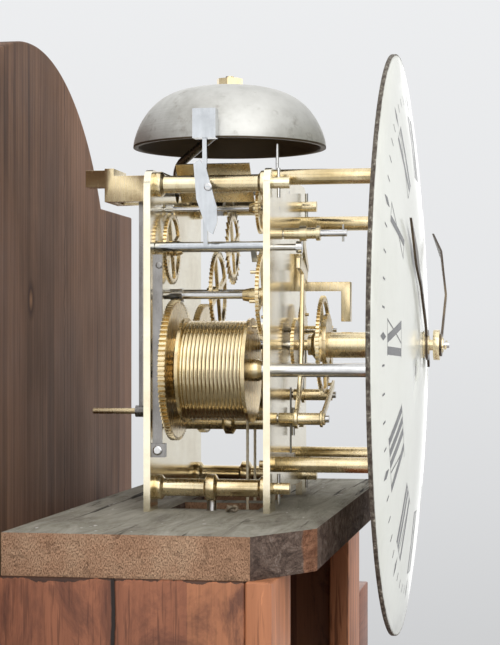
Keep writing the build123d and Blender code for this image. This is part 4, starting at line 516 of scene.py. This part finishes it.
# Brass and steel of the movement
# Plates, pillars and wheels are cast and hammered brass, filed flat and polished with the
# strokes still faintly visible. Pins, studs, springs, bolts and the hammer are of steel.
BRASS_TONES = ((0.52, 0.405, 0.215), (0.77, 0.64, 0.405), (0.86, 0.765, 0.54))
PLATE_TONES = ((0.72, 0.625, 0.44), (0.85, 0.775, 0.59), (0.93, 0.88, 0.73))
STEEL_TONES = ((0.34, 0.33, 0.32), (0.60, 0.60, 0.60), (0.74, 0.74, 0.74))
OLD_STEEL_TONES = ((0.14, 0.13, 0.12), (0.28, 0.27, 0.26), (0.42, 0.41, 0.40))
BRIGHT_STEEL_TONES = ((0.34, 0.355, 0.37), (0.50, 0.52, 0.54), (0.62, 0.64, 0.66))
BRASS_TARNISH = (0.40, 0.28, 0.14)


def metal(name, tones, rough, strokes=(500, 500, 30), stroke_depth=0.00002, blotch=30.0, tarnish=None):
    """Polished metal: slow change of tone, fine strokes in the finish, and duller patches."""
    polish = Finish(name)
    slow = polish.noise(polish.place(), blotch, detail=5.0, rough=0.6)
    colour = polish.ramp(slow, [(0.28, tones[0]), (0.5, tones[1]), (0.74, tones[2])])
    fine = polish.noise(polish.place(scale=strokes), 1.0, detail=3.0)
    colour = polish.layer(colour, tones[0], fine, (0.35, 0.22), (0.6, 0.0))
    if tarnish:
        patches = polish.noise(polish.place(), blotch * 2.6, detail=6.0, rough=0.7)
        colour = polish.layer(colour, tarnish, patches, (0.56, 0.0), (0.72, 0.55))
    dull = polish.maths("ADD", polish.maths("MULTIPLY", slow, 0.5), polish.maths("MULTIPLY", fine, 0.5))
    polish.paint(colour, polish.span(dull, rough - 0.1, rough + 0.1), 1.0)
    polish.bump(fine, stroke_depth)
    return polish.material


brass = metal("polished brass", BRASS_TONES, 0.27, tarnish=BRASS_TARNISH)
plate_brass = metal("plate brass", PLATE_TONES, 0.17, strokes=(60, 500, 500), stroke_depth=0.000008)
steel = metal("polished steel", STEEL_TONES, 0.18, strokes=(500, 40, 500))
dark_steel = metal("old steel", OLD_STEEL_TONES, 0.28)
bright_steel = metal("bright steel", BRIGHT_STEEL_TONES, 0.22)

dress(["back_plate", "front_plate"], plate_brass, 0)
dress(["plate_pillars", "dial_feet", "back_cock", "motion_bridge"], brass, 0.2)
dress(["hinge_brackets", "door_brasses", "fly", "rack"], brass, 0.2)
dress(["going_great_wheel", "strike_great_wheel", "going_pulley", "strike_pulley"], brass, 0)
dress(["cannon_pinion", "minute_wheel", "hour_wheel"], brass, 0)
dress(["taper_pins", "front_studs", "gathering_pallet"], steel, 0)
dress(["strike_springs"], dark_steel, 0)
dress(["seat_bolts"], dark_steel, 0.2, 1)
dress(["hammer"], bright_steel, 0)
dress(["hand_collet"], brass, 0.3)

# Arbors with their wheels
# Each wheel is of brass, riveted to a steel arbor with its pinion cut in the solid. The
# two metals are told apart here by the separate solids of a node.
WHEEL_REACH, DRUM_REACH, CRUTCH_REACH, CRUTCH_H = 8, 5, 20, -36
HOOK_PLACE, LIFTER_PLACE, PIPE_REACH = (-20.0, 58.5), (14.0, -27.0), 4.7
SAME_PLACE = 1e7  # corners closer than a ten millionth of a metre are one


def solids(mesh):
    """For each triangle, the label of the joined solid it belongs to, and its three corners."""
    places = np.empty(len(mesh.vertices) * 3)
    mesh.vertices.foreach_get("co", places)
    places = places.reshape(-1, 3)
    _, same = np.unique(np.round(places * SAME_PLACE).astype(np.int64), axis=0, return_inverse=True)
    vertices = np.empty(len(mesh.polygons) * 3, np.int32)
    mesh.polygons.foreach_get("vertices", vertices)
    vertices = vertices.reshape(-1, 3)
    joined = same.reshape(-1)[vertices]
    label = np.arange(same.max() + 1)
    while True:
        # Each corner takes the lowest label of its triangles, until no label changes.
        lower = label.copy()
        np.minimum.at(lower, joined, label[joined].min(axis=1)[:, None])
        lower = lower[lower]
        if (lower == label).all():
            return label[joined[:, 0]], places[vertices]
        label = lower


def reach(mesh, x, h):
    """How far each triangle's solid, and the triangle itself, reach from a forward axis, in mm."""
    label, corners = solids(mesh)
    away = np.hypot(corners[:, :, 0] - x * MM, corners[:, :, 2] - DIAL_Z - h * MM).max(axis=1) / MM
    widest = np.zeros(label.max() + 1)
    np.maximum.at(widest, label, away)
    return widest[label], away


def two_metals(node, x, h, limit, outer=brass, inner=steel):
    """Solids that reach past a radius get the first metal, and the rest the second."""
    mesh = cover(node, outer, inner)
    widest, _ = reach(mesh, x, h)
    mesh.polygons.foreach_set("material_index", (widest < limit).astype(np.int32))
    soften(node, 0)


def plate_on_pipe(node, x, h):
    """A steel plate on a brass pipe: faces within the pipe's reach of its axis are brass."""
    mesh = cover(node, bright_steel, brass)
    _, away = reach(mesh, x, h)
    mesh.polygons.foreach_set("material_index", (away < PIPE_REACH).astype(np.int32))
    soften(node, 0)


def middle_of(node):
    """Offset and height, in millimetres, of the middle of a node's box."""
    low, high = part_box(node)
    return (low[0] + high[0]) / 2 / MM, (low[2] + high[2]) / 2 / MM - DIAL_Z / MM


two_metals("centre_arbor", 0, 0, WHEEL_REACH)
for node in ("third_arbor", "escape_arbor", "pin_wheel_arbor", "gathering_arbor", "warning_arbor"):
    two_metals(node, *middle_of(node), WHEEL_REACH)
for node in ("going_barrel", "strike_barrel"):
    two_metals(node, *middle_of(node), DRUM_REACH)
plate_on_pipe("rack_hook", *HOOK_PLACE)
plate_on_pipe("lifting_piece", *LIFTER_PLACE)
dress(["pallet_arbor"], dark_steel, 0)
two_metals("crutch", 0, CRUTCH_H, CRUTCH_REACH, dark_steel, brass)

# Barrels
# The drums are of cast brass, turned with a spiral groove in which the line lies turn by
# turn as the clock is wound.
DRUM_R, DRUM_D0, DRUM_D1, DRUM_CLEAR = 25.0, 94.3, 126.8, 0.03
GROOVES, GROOVE_H, RIDGE_FLATNESS, RUN_OUT = 16, 0.55, 0.6, 1.2
DRUM_ROWS, DRUM_AROUND = GROOVES * 10 + 1, 144
barrel_brass = metal("turned brass", BRASS_TONES, 0.2, strokes=(60, 900, 60), blotch=12.0)


def weave(rows, columns, wrap_rows=False, wrap_columns=True):
    """Quads of a grid of rows by columns of points, either way joined end to end."""
    r = np.arange(rows if wrap_rows else rows - 1)[:, None]
    c = np.arange(columns if wrap_columns else columns - 1)[None, :]
    r2, c2 = (r + 1) % rows, (c + 1) % columns
    quads = [r * columns + c, r * columns + c2, r2 * columns + c2, r2 * columns + c]
    return np.stack(np.broadcast_arrays(*quads), axis=-1).reshape(-1, 4)


def grooved_drum(name, x, h, hand):
    """A drum whose radius rises in round ridges along a spiral and falls to plain at both ends."""
    along = np.linspace(0, 1, DRUM_ROWS)[:, None]
    angle = np.linspace(0, 2 * math.pi, DRUM_AROUND, endpoint=False)[None, :]
    ridge = np.abs(np.sin(math.pi * (along * GROOVES + hand * angle / (2 * math.pi)))) ** RIDGE_FLATNESS
    ends = np.clip(np.minimum(along, 1 - along) * GROOVES * RUN_OUT, 0, 1)
    radius = DRUM_R + DRUM_CLEAR + GROOVE_H * ridge * ends
    depth = DRUM_D0 + (DRUM_D1 - DRUM_D0) * along + 0 * angle
    across, upward = x + radius * np.sin(angle), h + radius * np.cos(angle)
    points = np.stack([across * MM, FACE_Y - depth * MM, DIAL_Z + upward * MM], axis=-1).reshape(-1, 3)
    return surface(name, points, weave(DRUM_ROWS, DRUM_AROUND).tolist(), barrel_brass)


for side, hand in (("going", 1), ("strike", -1)):
    grooved = grooved_drum(f"{side}_barrel_grooves", *middle_of(f"{side}_barrel"), hand)
    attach(grooved, f"{side}_barrel")

# Bell
# A shallow bell of grey bell metal, turned outside and left dark inside. It is held at its
# crown by the stand and a brass nut.
BELL_R, BELL_RIM, BELL_CROWN, BELL_WALL, BELL_D = 52.0, 106.0, 139.5, 2.6, 109.0
BELL_HOLE_R, BELL_LIP, NUT_ABOVE = 2.8, 0.6, 0.2
CROWN_POWER, RIM_POWER = 0.54, 0.56
BELL_TONES = [(0.25, (0.34, 0.33, 0.30)), (0.5, (0.55, 0.545, 0.515)), (0.78, (0.68, 0.675, 0.645))]
BELL_SPOT, BELL_INSIDE = (0.25, 0.225, 0.19), (0.13, 0.10, 0.07)
bell_metal = Finish("bell metal")
bell_slow = bell_metal.noise(bell_metal.place(), 26.0, detail=7.0, rough=0.62)
bell_spots = bell_metal.noise(bell_metal.place(), 90.0, detail=5.0, rough=0.7)
bell_colour = bell_metal.ramp(bell_slow, BELL_TONES)
bell_colour = bell_metal.layer(bell_colour, BELL_SPOT, bell_spots, (0.58, 0.0), (0.7, 0.5))
bell_colour = bell_metal.layer(bell_colour, BELL_INSIDE, bell_metal.facing("Z"), (0.0, 1.0), (0.04, 0.0))
bell_turning = bell_metal.noise(bell_metal.place(scale=(8, 8, 900)), 1.0, detail=3.0)
bell_metal.paint(bell_colour, bell_metal.span(bell_spots, 0.46, 0.62), 0.9)
bell_metal.bump(bell_metal.maths("ADD", bell_turning, bell_spots), 0.00012)


def lathe(name, profile, axis_x, axis_y, material, around=128):
    """A closed ring of (radius, z) millimetre points turned about an upright axis."""
    angle = np.linspace(0, 2 * math.pi, around, endpoint=False)
    x = axis_x + profile[:, :1] * MM * np.cos(angle)
    y = axis_y + profile[:, :1] * MM * np.sin(angle)
    z = np.repeat(profile[:, 1:] * MM, around, axis=1)
    points = np.stack([x, y, z], axis=-1).reshape(-1, 3)
    return surface(name, points, weave(len(profile), around, wrap_rows=True).tolist(), material)


def bell_curve(radius, top, low, count=40):
    """Half of the wall: a quarter turn whose height follows the cosine, ever steeper to the rim."""
    turn = np.linspace(0, math.pi / 2, count)
    out = np.sin(turn)
    z = low + (top - low) * np.maximum(np.cos(turn), 0) ** (CROWN_POWER + RIM_POWER * out**3)
    return np.column_stack([radius * out, z])


crown_z = DIAL_Z / MM + BELL_CROWN
rim_z = DIAL_Z / MM + BELL_RIM
outer = bell_curve(BELL_R, crown_z, rim_z)
inner = bell_curve(BELL_R - BELL_WALL, crown_z - BELL_WALL, rim_z)
outer[0, 0] = inner[0, 0] = BELL_HOLE_R
bell_ring = np.vstack([outer, [[BELL_R - BELL_LIP, rim_z]], inner[::-1]])
bell = lathe("bell_shell", bell_ring[::-1], 0, FACE_Y - BELL_D * MM, bell_metal.material)
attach(bell, "case")
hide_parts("bell")

# The stand is of steel, and its nut over the crown is of brass.
stand = cover("bell_stand", dark_steel, brass)
stand_middles = np.empty(3 * len(stand.polygons))
stand.polygons.foreach_get("center", stand_middles)
in_nut = stand_middles[2::3] > (crown_z + NUT_ABOVE) * MM
stand.polygons.foreach_set("material_index", in_nut.astype(np.int32))
soften("bell_stand", 0)

# Dial
# A domed disc of sheet iron, painted glossy cream, with black numerals and minute marks
# by hand. Its rim is worn dark, and two holes give a key its way to the winding squares.
CREAM_LOW, CREAM_HIGH = (0.70, 0.70, 0.63), (0.78, 0.785, 0.72)
IRON_TONES = [(0.40, (0.05, 0.036, 0.027)), (0.60, (0.16, 0.14, 0.11)), (0.70, (0.50, 0.47, 0.40))]
RIM_BARE_R, RIM_FADE, RIM_SCALE = 0.1515, 0.0003, 5.0  # the scale lays metres out for a ramp
cream = Finish("cream enamel paint")
on_dial = cream.place(move=(0, 0, -DIAL_Z))
cream_slow = cream.noise(on_dial, 10.0, detail=5.0)
cream_colour = cream.ramp(cream_slow, [(0.3, CREAM_LOW), (0.6, CREAM_HIGH)])
x_squared, z_squared = (cream.maths("POWER", cream.coordinate(on_dial, axis), 2.0) for axis in "XZ")
from_centre = cream.maths("SQRT", cream.maths("ADD", x_squared, z_squared))
uneven = cream.span(cream.noise(on_dial, 240.0, detail=5.0), -0.0006, 0.0012)
scaled = cream.maths("MULTIPLY", cream.maths("ADD", from_centre, uneven), RIM_SCALE)
rim_mask = cream.mask(scaled, (RIM_BARE_R * RIM_SCALE, 0.0), ((RIM_BARE_R + RIM_FADE) * RIM_SCALE, 1.0))
bare_iron = cream.ramp(cream.noise(on_dial, 420.0, detail=4.0, rough=0.7), IRON_TONES)
dial_rough = cream.maths("ADD", cream.span(cream_slow, 0.10, 0.20), cream.maths("MULTIPLY", rim_mask, 0.5))
cream.paint(cream.mix(rim_mask, cream_colour, bare_iron), dial_rough, gloss=0.25)
cream.bump(cream_slow, 0.0004)
dress(["dial"], cream.material, 0.3)

# Hour and minute marks on the dial
# Roman numerals stand round the dial with their feet to the centre, inside one circle of
# minute dashes with a diamond at each hour. They are one coat of black paint, laid by hand.
DIAL_R, DIAL_T, DIAL_EDGE_D, DIAL_BULGE, PAINT_T = 152.4, 2.0, 199.0, 12.5, 0.06
DOME_R = (DIAL_R**2 + DIAL_BULGE**2) / (2 * DIAL_BULGE)
INK_LOW, INK_HIGH, INK_ROUGH = (0.05, 0.05, 0.052), (0.11, 0.11, 0.108), 0.2
NUMERALS = ["XII", "I", "II", "III", "IIII", "V", "VI", "VII", "VIII", "IX", "X", "XI"]
NUMERAL_IN, NUMERAL_OUT = 88.0, 120.0
THICK, THIN, SERIF = 3.9, 0.9, 0.5
THICK_INSET, THIN_INSET, V_FOOT = 2.4, 1.2, 0.6
WIDTHS = {"I": 6.2, "V": 12.6, "X": 12.6}
MINUTE_R, DASH_L, DASH_WIDE, DIAMOND_UP, DIAMOND_WIDE = 128.5, 4.4, 1.0, 5.6, 2.0
DIAL_TURN = 1.8  # the painted ring stands a little clockwise of upright
STROKE_ROWS, STROKE_COLUMNS = 9, 5
black = Finish("numeral black")
ink = black.noise(black.place(), 120.0, detail=4.0)
black.paint(black.ramp(ink, [(0.35, INK_LOW), (0.7, INK_HIGH)]), INK_ROUGH)


def on_dome(x, h):
    """Scene points on the dome's paint, in metres: the depth of a sphere at offsets and heights in mm."""
    d = DIAL_EDGE_D + DIAL_BULGE - DOME_R + np.sqrt((DOME_R + DIAL_T) ** 2 - x * x - h * h) + PAINT_T
    return np.stack([x * MM, FACE_Y - d * MM, DIAL_Z + h * MM], axis=-1)


def painted(name, quads, material):
    """Flat strokes: each is four (x, h) corners, filled by a fine grid between them on the dome."""
    u, v = np.meshgrid(np.linspace(0, 1, STROKE_COLUMNS), np.linspace(0, 1, STROKE_ROWS))
    u, v = u[None, :, :, None], v[None, :, :, None]
    a, b, c, d = (np.array(quads)[:, k, None, None, :] for k in range(4))
    flat = (a * (1 - u) + b * u) * (1 - v) + (d * (1 - u) + c * u) * v
    points = on_dome(flat[..., 0], flat[..., 1]).reshape(-1, 3)
    one = weave(STROKE_ROWS, STROKE_COLUMNS, wrap_columns=False)
    first_points = np.arange(len(quads)) * STROKE_COLUMNS * STROKE_ROWS
    faces = (one[None] + first_points[:, None, None]).reshape(-1, 4)
    return surface(name, points, faces[:, ::-1].tolist(), material)


def at_hour(degrees, corners):
    """Corners (across, out) of an upright numeral's own square, turned about the centre to its hour."""
    a = math.radians(degrees + DIAL_TURN)
    across, out = np.array([math.cos(a), -math.sin(a)]), np.array([math.sin(a), math.cos(a)])
    return [tuple(across * s + out * t) for s, t in corners]


def stroke(degrees, p, q, width):
    """A straight stroke from p to q, (across, out), with level ends."""
    w = width / 2
    return at_hour(degrees, [(p[0] - w, p[1]), (p[0] + w, p[1]), (q[0] + w, q[1]), (q[0] - w, q[1])])


strokes = []
for hour, numeral in enumerate(NUMERALS):
    total = sum(WIDTHS[letter] for letter in numeral)
    x = -total / 2
    for letter in numeral:
        end = x + WIDTHS[letter]
        mid = (x + end) / 2
        if letter == "I":
            thick, thin = (mid, mid), None
        elif letter == "V":
            thick, thin = (mid + V_FOOT, x + THICK_INSET), (mid - V_FOOT, end - THIN_INSET)
        else:
            thick, thin = (end - THICK_INSET, x + THICK_INSET), (x + THIN_INSET, end - THIN_INSET)
        strokes.append(stroke(30 * hour, (thick[0], NUMERAL_IN), (thick[1], NUMERAL_OUT), THICK))
        if thin:
            strokes.append(stroke(30 * hour, (thin[0], NUMERAL_IN), (thin[1], NUMERAL_OUT), THIN))
        x = end
    for at in (NUMERAL_IN, NUMERAL_OUT):
        strokes.append(stroke(30 * hour, (0, at - SERIF / 2), (0, at + SERIF / 2), total - THIN_INSET))
for minute in range(60):
    if minute % 5:
        dash = (0, MINUTE_R - DASH_L / 2), (0, MINUTE_R + DASH_L / 2)
        strokes.append(stroke(6 * minute, *dash, DASH_WIDE))
        continue
    foot, head, middle = (0, MINUTE_R - DIAMOND_UP), (0, MINUTE_R + DIAMOND_UP), (0, MINUTE_R)
    strokes.append(at_hour(6 * minute, [middle, head, (-DIAMOND_WIDE, MINUTE_R), foot]))
    strokes.append(at_hour(6 * minute, [foot, (DIAMOND_WIDE, MINUTE_R), head, middle]))
numerals = painted("dial_numerals", strokes, black.material)
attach(numerals, "case")

# Hands
# Both hands are sawn out of sheet brass and bent to follow the dome. They are painted nearly
# black as the shade they stand in, edge on, and a little brass colour shows in lighter patches.
# The hands' colour is painted shade: brass darkened nearly black where they stand edge on in shadow.
HAND_SHADE_TONES = ((0.045, 0.033, 0.025), (0.09, 0.068, 0.048), (0.24, 0.18, 0.11))
hand_brass = metal("hand brass painted dark as shade", HAND_SHADE_TONES, 0.3)
dress(["hour_hand", "minute_hand"], hand_brass, 0)

# Lines
# Each line is a long twisted gut, thin and cream with age. One end winds on the barrel and
# the other is knotted through the seatboard, with the pulley hanging in the loop.
LINE_R, TWIST, STRAND_SHARE, ROUND_LINE = 0.8, 3.2, 0.16, 12
FALL_STEP, LOOP_POINTS = 0.9, 90
GUT_LOW, GUT_HIGH = (0.80, 0.69, 0.48), (0.93, 0.86, 0.70)
gut = Finish("twisted gut")
gut.paint(gut.ramp(gut.noise(gut.place(), 300.0, detail=4.0), [(0.3, GUT_LOW), (0.7, GUT_HIGH)]), 0.42)


def frame_along(route, aside):
    """Unit vectors along a route, by central differences, and to its side, square to a third way."""
    ahead = np.gradient(route, axis=0)
    ahead /= np.linalg.norm(ahead, axis=1)[:, None]
    side = np.cross(ahead, np.array(aside))
    side /= np.linalg.norm(side, axis=1)[:, None]
    return ahead, side


def twisted(name, route):
    """Two strands laid round each other: a radius that swells with a cosine turning along the route."""
    ahead, side = frame_along(route, (0.0, 1.0, 0.0))
    other = np.cross(ahead, side)
    run = np.concatenate([[0], np.cumsum(np.linalg.norm(np.diff(route, axis=0), axis=1))])
    angle = np.linspace(0, 2 * math.pi, ROUND_LINE, endpoint=False)[None, :, None]
    spin = (run / (TWIST * MM) * math.pi)[:, None, None]
    r = LINE_R * MM * (1 - STRAND_SHARE + STRAND_SHARE * np.abs(np.cos(angle - spin)))
    points = route[:, None, :] + r * (side[:, None, :] * np.cos(angle) + other[:, None, :] * np.sin(angle))
    faces = weave(len(route), ROUND_LINE)[:, ::-1].tolist()
    return surface(name, points.reshape(-1, 3), faces, gut.material)


for side in ("going", "strike"):
    for part in ("barrel_fall", "fixed_fall"):
        low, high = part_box(f"{side}_{part}")
        x, y = (low[0] + high[0]) / 2, (low[1] + high[1]) / 2
        length = high[2] - low[2]
        z = np.linspace(low[2], high[2], int(length / (FALL_STEP * MM)))
        fall = twisted(f"{side}_{part}_gut", np.column_stack([np.full_like(z, x), np.full_like(z, y), z]))
        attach(fall, "case")
        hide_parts(f"{side}_{part}")
        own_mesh(fall)
    low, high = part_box(f"{side}_line_loop")
    radius = (high[0] - low[0]) / 2 - LINE_R * MM
    x, y, z = (low[0] + high[0]) / 2, (low[1] + high[1]) / 2, high[2]
    angle = np.linspace(math.pi, 2 * math.pi, LOOP_POINTS)
    arc = np.column_stack([x + radius * np.cos(angle), np.full(LOOP_POINTS, y), z + radius * np.sin(angle)])
    loop = twisted(f"{side}_line_loop_gut", arc)
    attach(loop, f"{side}_weight")
    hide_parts(f"{side}_line_loop")

# Knots of the lines
# The standing end of each line comes up through the seatboard and is stopped there with an
# overhand knot, pulled tight against the wood. It is the same gut, painted dark as the shade round its
# hole.
SEAT_TOP_Z, KNOT_LOBE, KNOT_RISE, KNOT_POINTS = 1615.5, 0.95, 1.0, 120
KNOT_SHADE_LOW, KNOT_SHADE_HIGH = (0.10, 0.075, 0.05), (0.26, 0.21, 0.145)
shaded_knot_gut = Finish("knot gut painted dark as shade")
# The knot's colour is painted shade: the gut darkened to match the shadow round the hole it sits over.
shaded_knot_tone = shaded_knot_gut.noise(shaded_knot_gut.place(), 400.0, detail=4.0)
shaded_knot_gut.paint(shaded_knot_gut.ramp(shaded_knot_tone, [(0.3, KNOT_SHADE_LOW), (0.7, KNOT_SHADE_HIGH)]), 0.6)


def overhand_knot(name, x, y, z):
    """A tube along a trefoil, which turns twice round the hole while it rises and falls three times."""
    t = np.linspace(0, 2 * math.pi, KNOT_POINTS + 1)
    lobe_x = (np.sin(t) + 2 * np.sin(2 * t)) * KNOT_LOBE * MM
    lobe_y = (np.cos(t) - 2 * np.cos(2 * t)) * KNOT_LOBE * MM
    route = np.column_stack([x + lobe_x, y + lobe_y, z - np.sin(3 * t) * KNOT_RISE * MM])
    ahead, outward = frame_along(route, (0.0, 0.0, 1.0))
    upward = np.cross(outward, ahead)
    angle = np.linspace(0, 2 * math.pi, ROUND_LINE, endpoint=False)[None, :, None]
    round_route = outward[:, None, :] * np.cos(angle) + upward[:, None, :] * np.sin(angle)
    tube = (route[:, None, :] + LINE_R * MM * round_route)[:-1]
    faces = weave(KNOT_POINTS, ROUND_LINE, wrap_rows=True).tolist()
    return surface(name, tube.reshape(-1, 3), faces, shaded_knot_gut.material)


for side in ("going", "strike"):
    low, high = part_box(f"{side}_fixed_fall")
    knot_z = (SEAT_TOP_Z + KNOT_RISE + LINE_R) * MM
    knot_piece = overhand_knot(f"{side}_line_knot", (low[0] + high[0]) / 2, (low[1] + high[1]) / 2, knot_z)
    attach(knot_piece, "case")

# Screws
# Cheese-headed steel screws, turned and slotted by hand, hold the back cock, the bell's
# stand, the bridge, the springs, the hammer's plate and the hinges of the door.
ROUND_OVER, SLOT_HALF, SLOT_DEEP, SLOT_WALL = 0.25, 0.14, 0.35, 0.01
HALF_CHORDS = [SLOT_HALF, SLOT_HALF + SLOT_WALL, 0.42, 0.65, 0.85, 0.97, 1.0]
CHORD_POINTS, MERGE_WITHIN, CRISP_FROM = 25, 1e-7, math.radians(35)


def spot(x, h, d):
    """Scene point, in metres, from offset, height over the dial's centre and depth in millimetres."""
    return Vector((x * MM, FACE_Y - d * MM, DIAL_Z + h * MM))


def slotted_head(name, place, out, r, rise, body, material, slot_deg):
    """A round head with a slot: rows are chords across the head, and the rise falls in the slot.

    Each row of the grid is one chord at a fixed distance from the middle. Its height is the
    rise less a round-over near the rim, less the slot's depth between the slot's two sides."""
    cut = np.array([-share for share in reversed(HALF_CHORDS)] + [0] + HALF_CHORDS)
    across = np.repeat(cut[:, None], CHORD_POINTS, axis=1)
    along = np.sin(np.linspace(-math.pi / 2, math.pi / 2, CHORD_POINTS))[None, :]
    along = along * np.sqrt(np.maximum(1 - across**2, 0))
    height = rise * (1 - ROUND_OVER * np.hypot(across, along) ** 8)
    height = height - rise * SLOT_DEEP * (np.abs(across) <= SLOT_HALF)
    out, up = np.array(out, float), np.array([0.0, 0.0, 1.0])
    side = np.cross(up, out)
    a = math.radians(slot_deg)
    first, second = math.cos(a) * side + math.sin(a) * up, -math.sin(a) * side + math.cos(a) * up
    flat = r * (across[..., None] * first + along[..., None] * second)
    base = np.array(spot(*place)) + MM * flat
    top = base + MM * height[..., None] * out
    rows, columns = across.shape
    number = np.arange(rows * columns).reshape(rows, columns)
    rim = np.concatenate([number[:, 0], number[-1, 1:], number[-2::-1, -1], number[0, -2:0:-1]])
    after = np.roll(rim, -1)
    wall = np.stack([rim, after, after + number.size, rim + number.size], axis=1)
    grid = weave(rows, columns, wrap_columns=False)
    faces = np.concatenate([grid, wall, grid[:, ::-1] + number.size])
    points = np.concatenate([top.reshape(-1, 3), base.reshape(-1, 3)])
    head = surface(name, points, faces.tolist(), material)
    # The ends of the chords meet in one point at both sides of the head, and are merged there.
    mesh = bmesh.new()
    mesh.from_mesh(head.data)
    bmesh.ops.remove_doubles(mesh, verts=mesh.verts, dist=MERGE_WITHIN)
    bmesh.ops.dissolve_degenerate(mesh, edges=mesh.edges, dist=MERGE_WITHIN)
    bmesh.ops.recalc_face_normals(mesh, faces=mesh.faces)
    mesh.to_mesh(head.data)
    mesh.free()
    crisp = head.modifiers.new("crisp edges", "EDGE_SPLIT")
    crisp.split_angle = CRISP_FROM
    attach(head, body)


# Name, place (offset, height, depth), way it faces, radius, rise, body, steel, turn of its slot.
FRONT, BACK, LEFT = (0, -1, 0), (0, 1, 0), (-1, 0, 0)
SCREWS = [
    ("cock_screw_left", (-18.0, 84.0, 72.5), BACK, 3.0, 2.0, "case", steel, 70),
    ("cock_screw_right", (18.0, 84.0, 72.5), BACK, 3.0, 2.0, "case", steel, 15),
    ("bell_stand_screw", (27.0, 56.0, 73.5), BACK, 3.2, 2.0, "case", dark_steel, 40),
    ("bridge_screw", (24.0, 44.0, 144.5), FRONT, 3.1, 2.7, "case", steel, 120),
    ("hammer_plate_screw", (-60.4, 80.0, 109.2), LEFT, 2.0, 0.9, "hammer", steel, 80),
    ("hammer_spring_screw", (-62.4, -53.5, 83.5), LEFT, 2.4, 1.4, "case", steel, 100),
    ("leaf_spring_stud", (-60.9, 40.5, 84.0), LEFT, 1.7, 1.3, "case", dark_steel, 20),
]
HINGE_X, HINGE_D, HINGE_SCREWS_UP = 141.5, 161.6, (6.0, 20.0)
for end, hinge_z in (("low", 650.0), ("high", 1300.0)):
    for k, up_mm in enumerate(HINGE_SCREWS_UP):
        place = (HINGE_X, hinge_z + up_mm - DIAL_Z / MM, HINGE_D)
        SCREWS.append((f"hinge_{end}_screw_{k}", place, FRONT, 2.4, 0.8, "case", dark_steel, 35 + 60 * k))
for screw in SCREWS:
    slotted_head(*screw)

# Weights
# Two plain cylinders of cast iron, blackened and rusty in places, hang from stirrups under
# the pulleys.
IRON_LOW, IRON_HIGH, RUST = (0.018, 0.017, 0.016), (0.055, 0.05, 0.046), (0.10, 0.045, 0.022)
iron = Finish("cast iron")
iron_grit = iron.noise(iron.place(), 240.0, detail=6.0, rough=0.7)
iron_colour = iron.ramp(iron.noise(iron.place(), 12.0, detail=5.0), [(0.3, IRON_LOW), (0.7, IRON_HIGH)])
iron_colour = iron.layer(iron_colour, RUST, iron_grit, (0.6, 0.0), (0.75, 0.6))
iron.paint(iron_colour, iron.span(iron_grit, 0.5, 0.75), 0.35)
iron.bump(iron_grit, 0.0003)
dress(["going_weight", "strike_weight"], iron.material, 0.8)
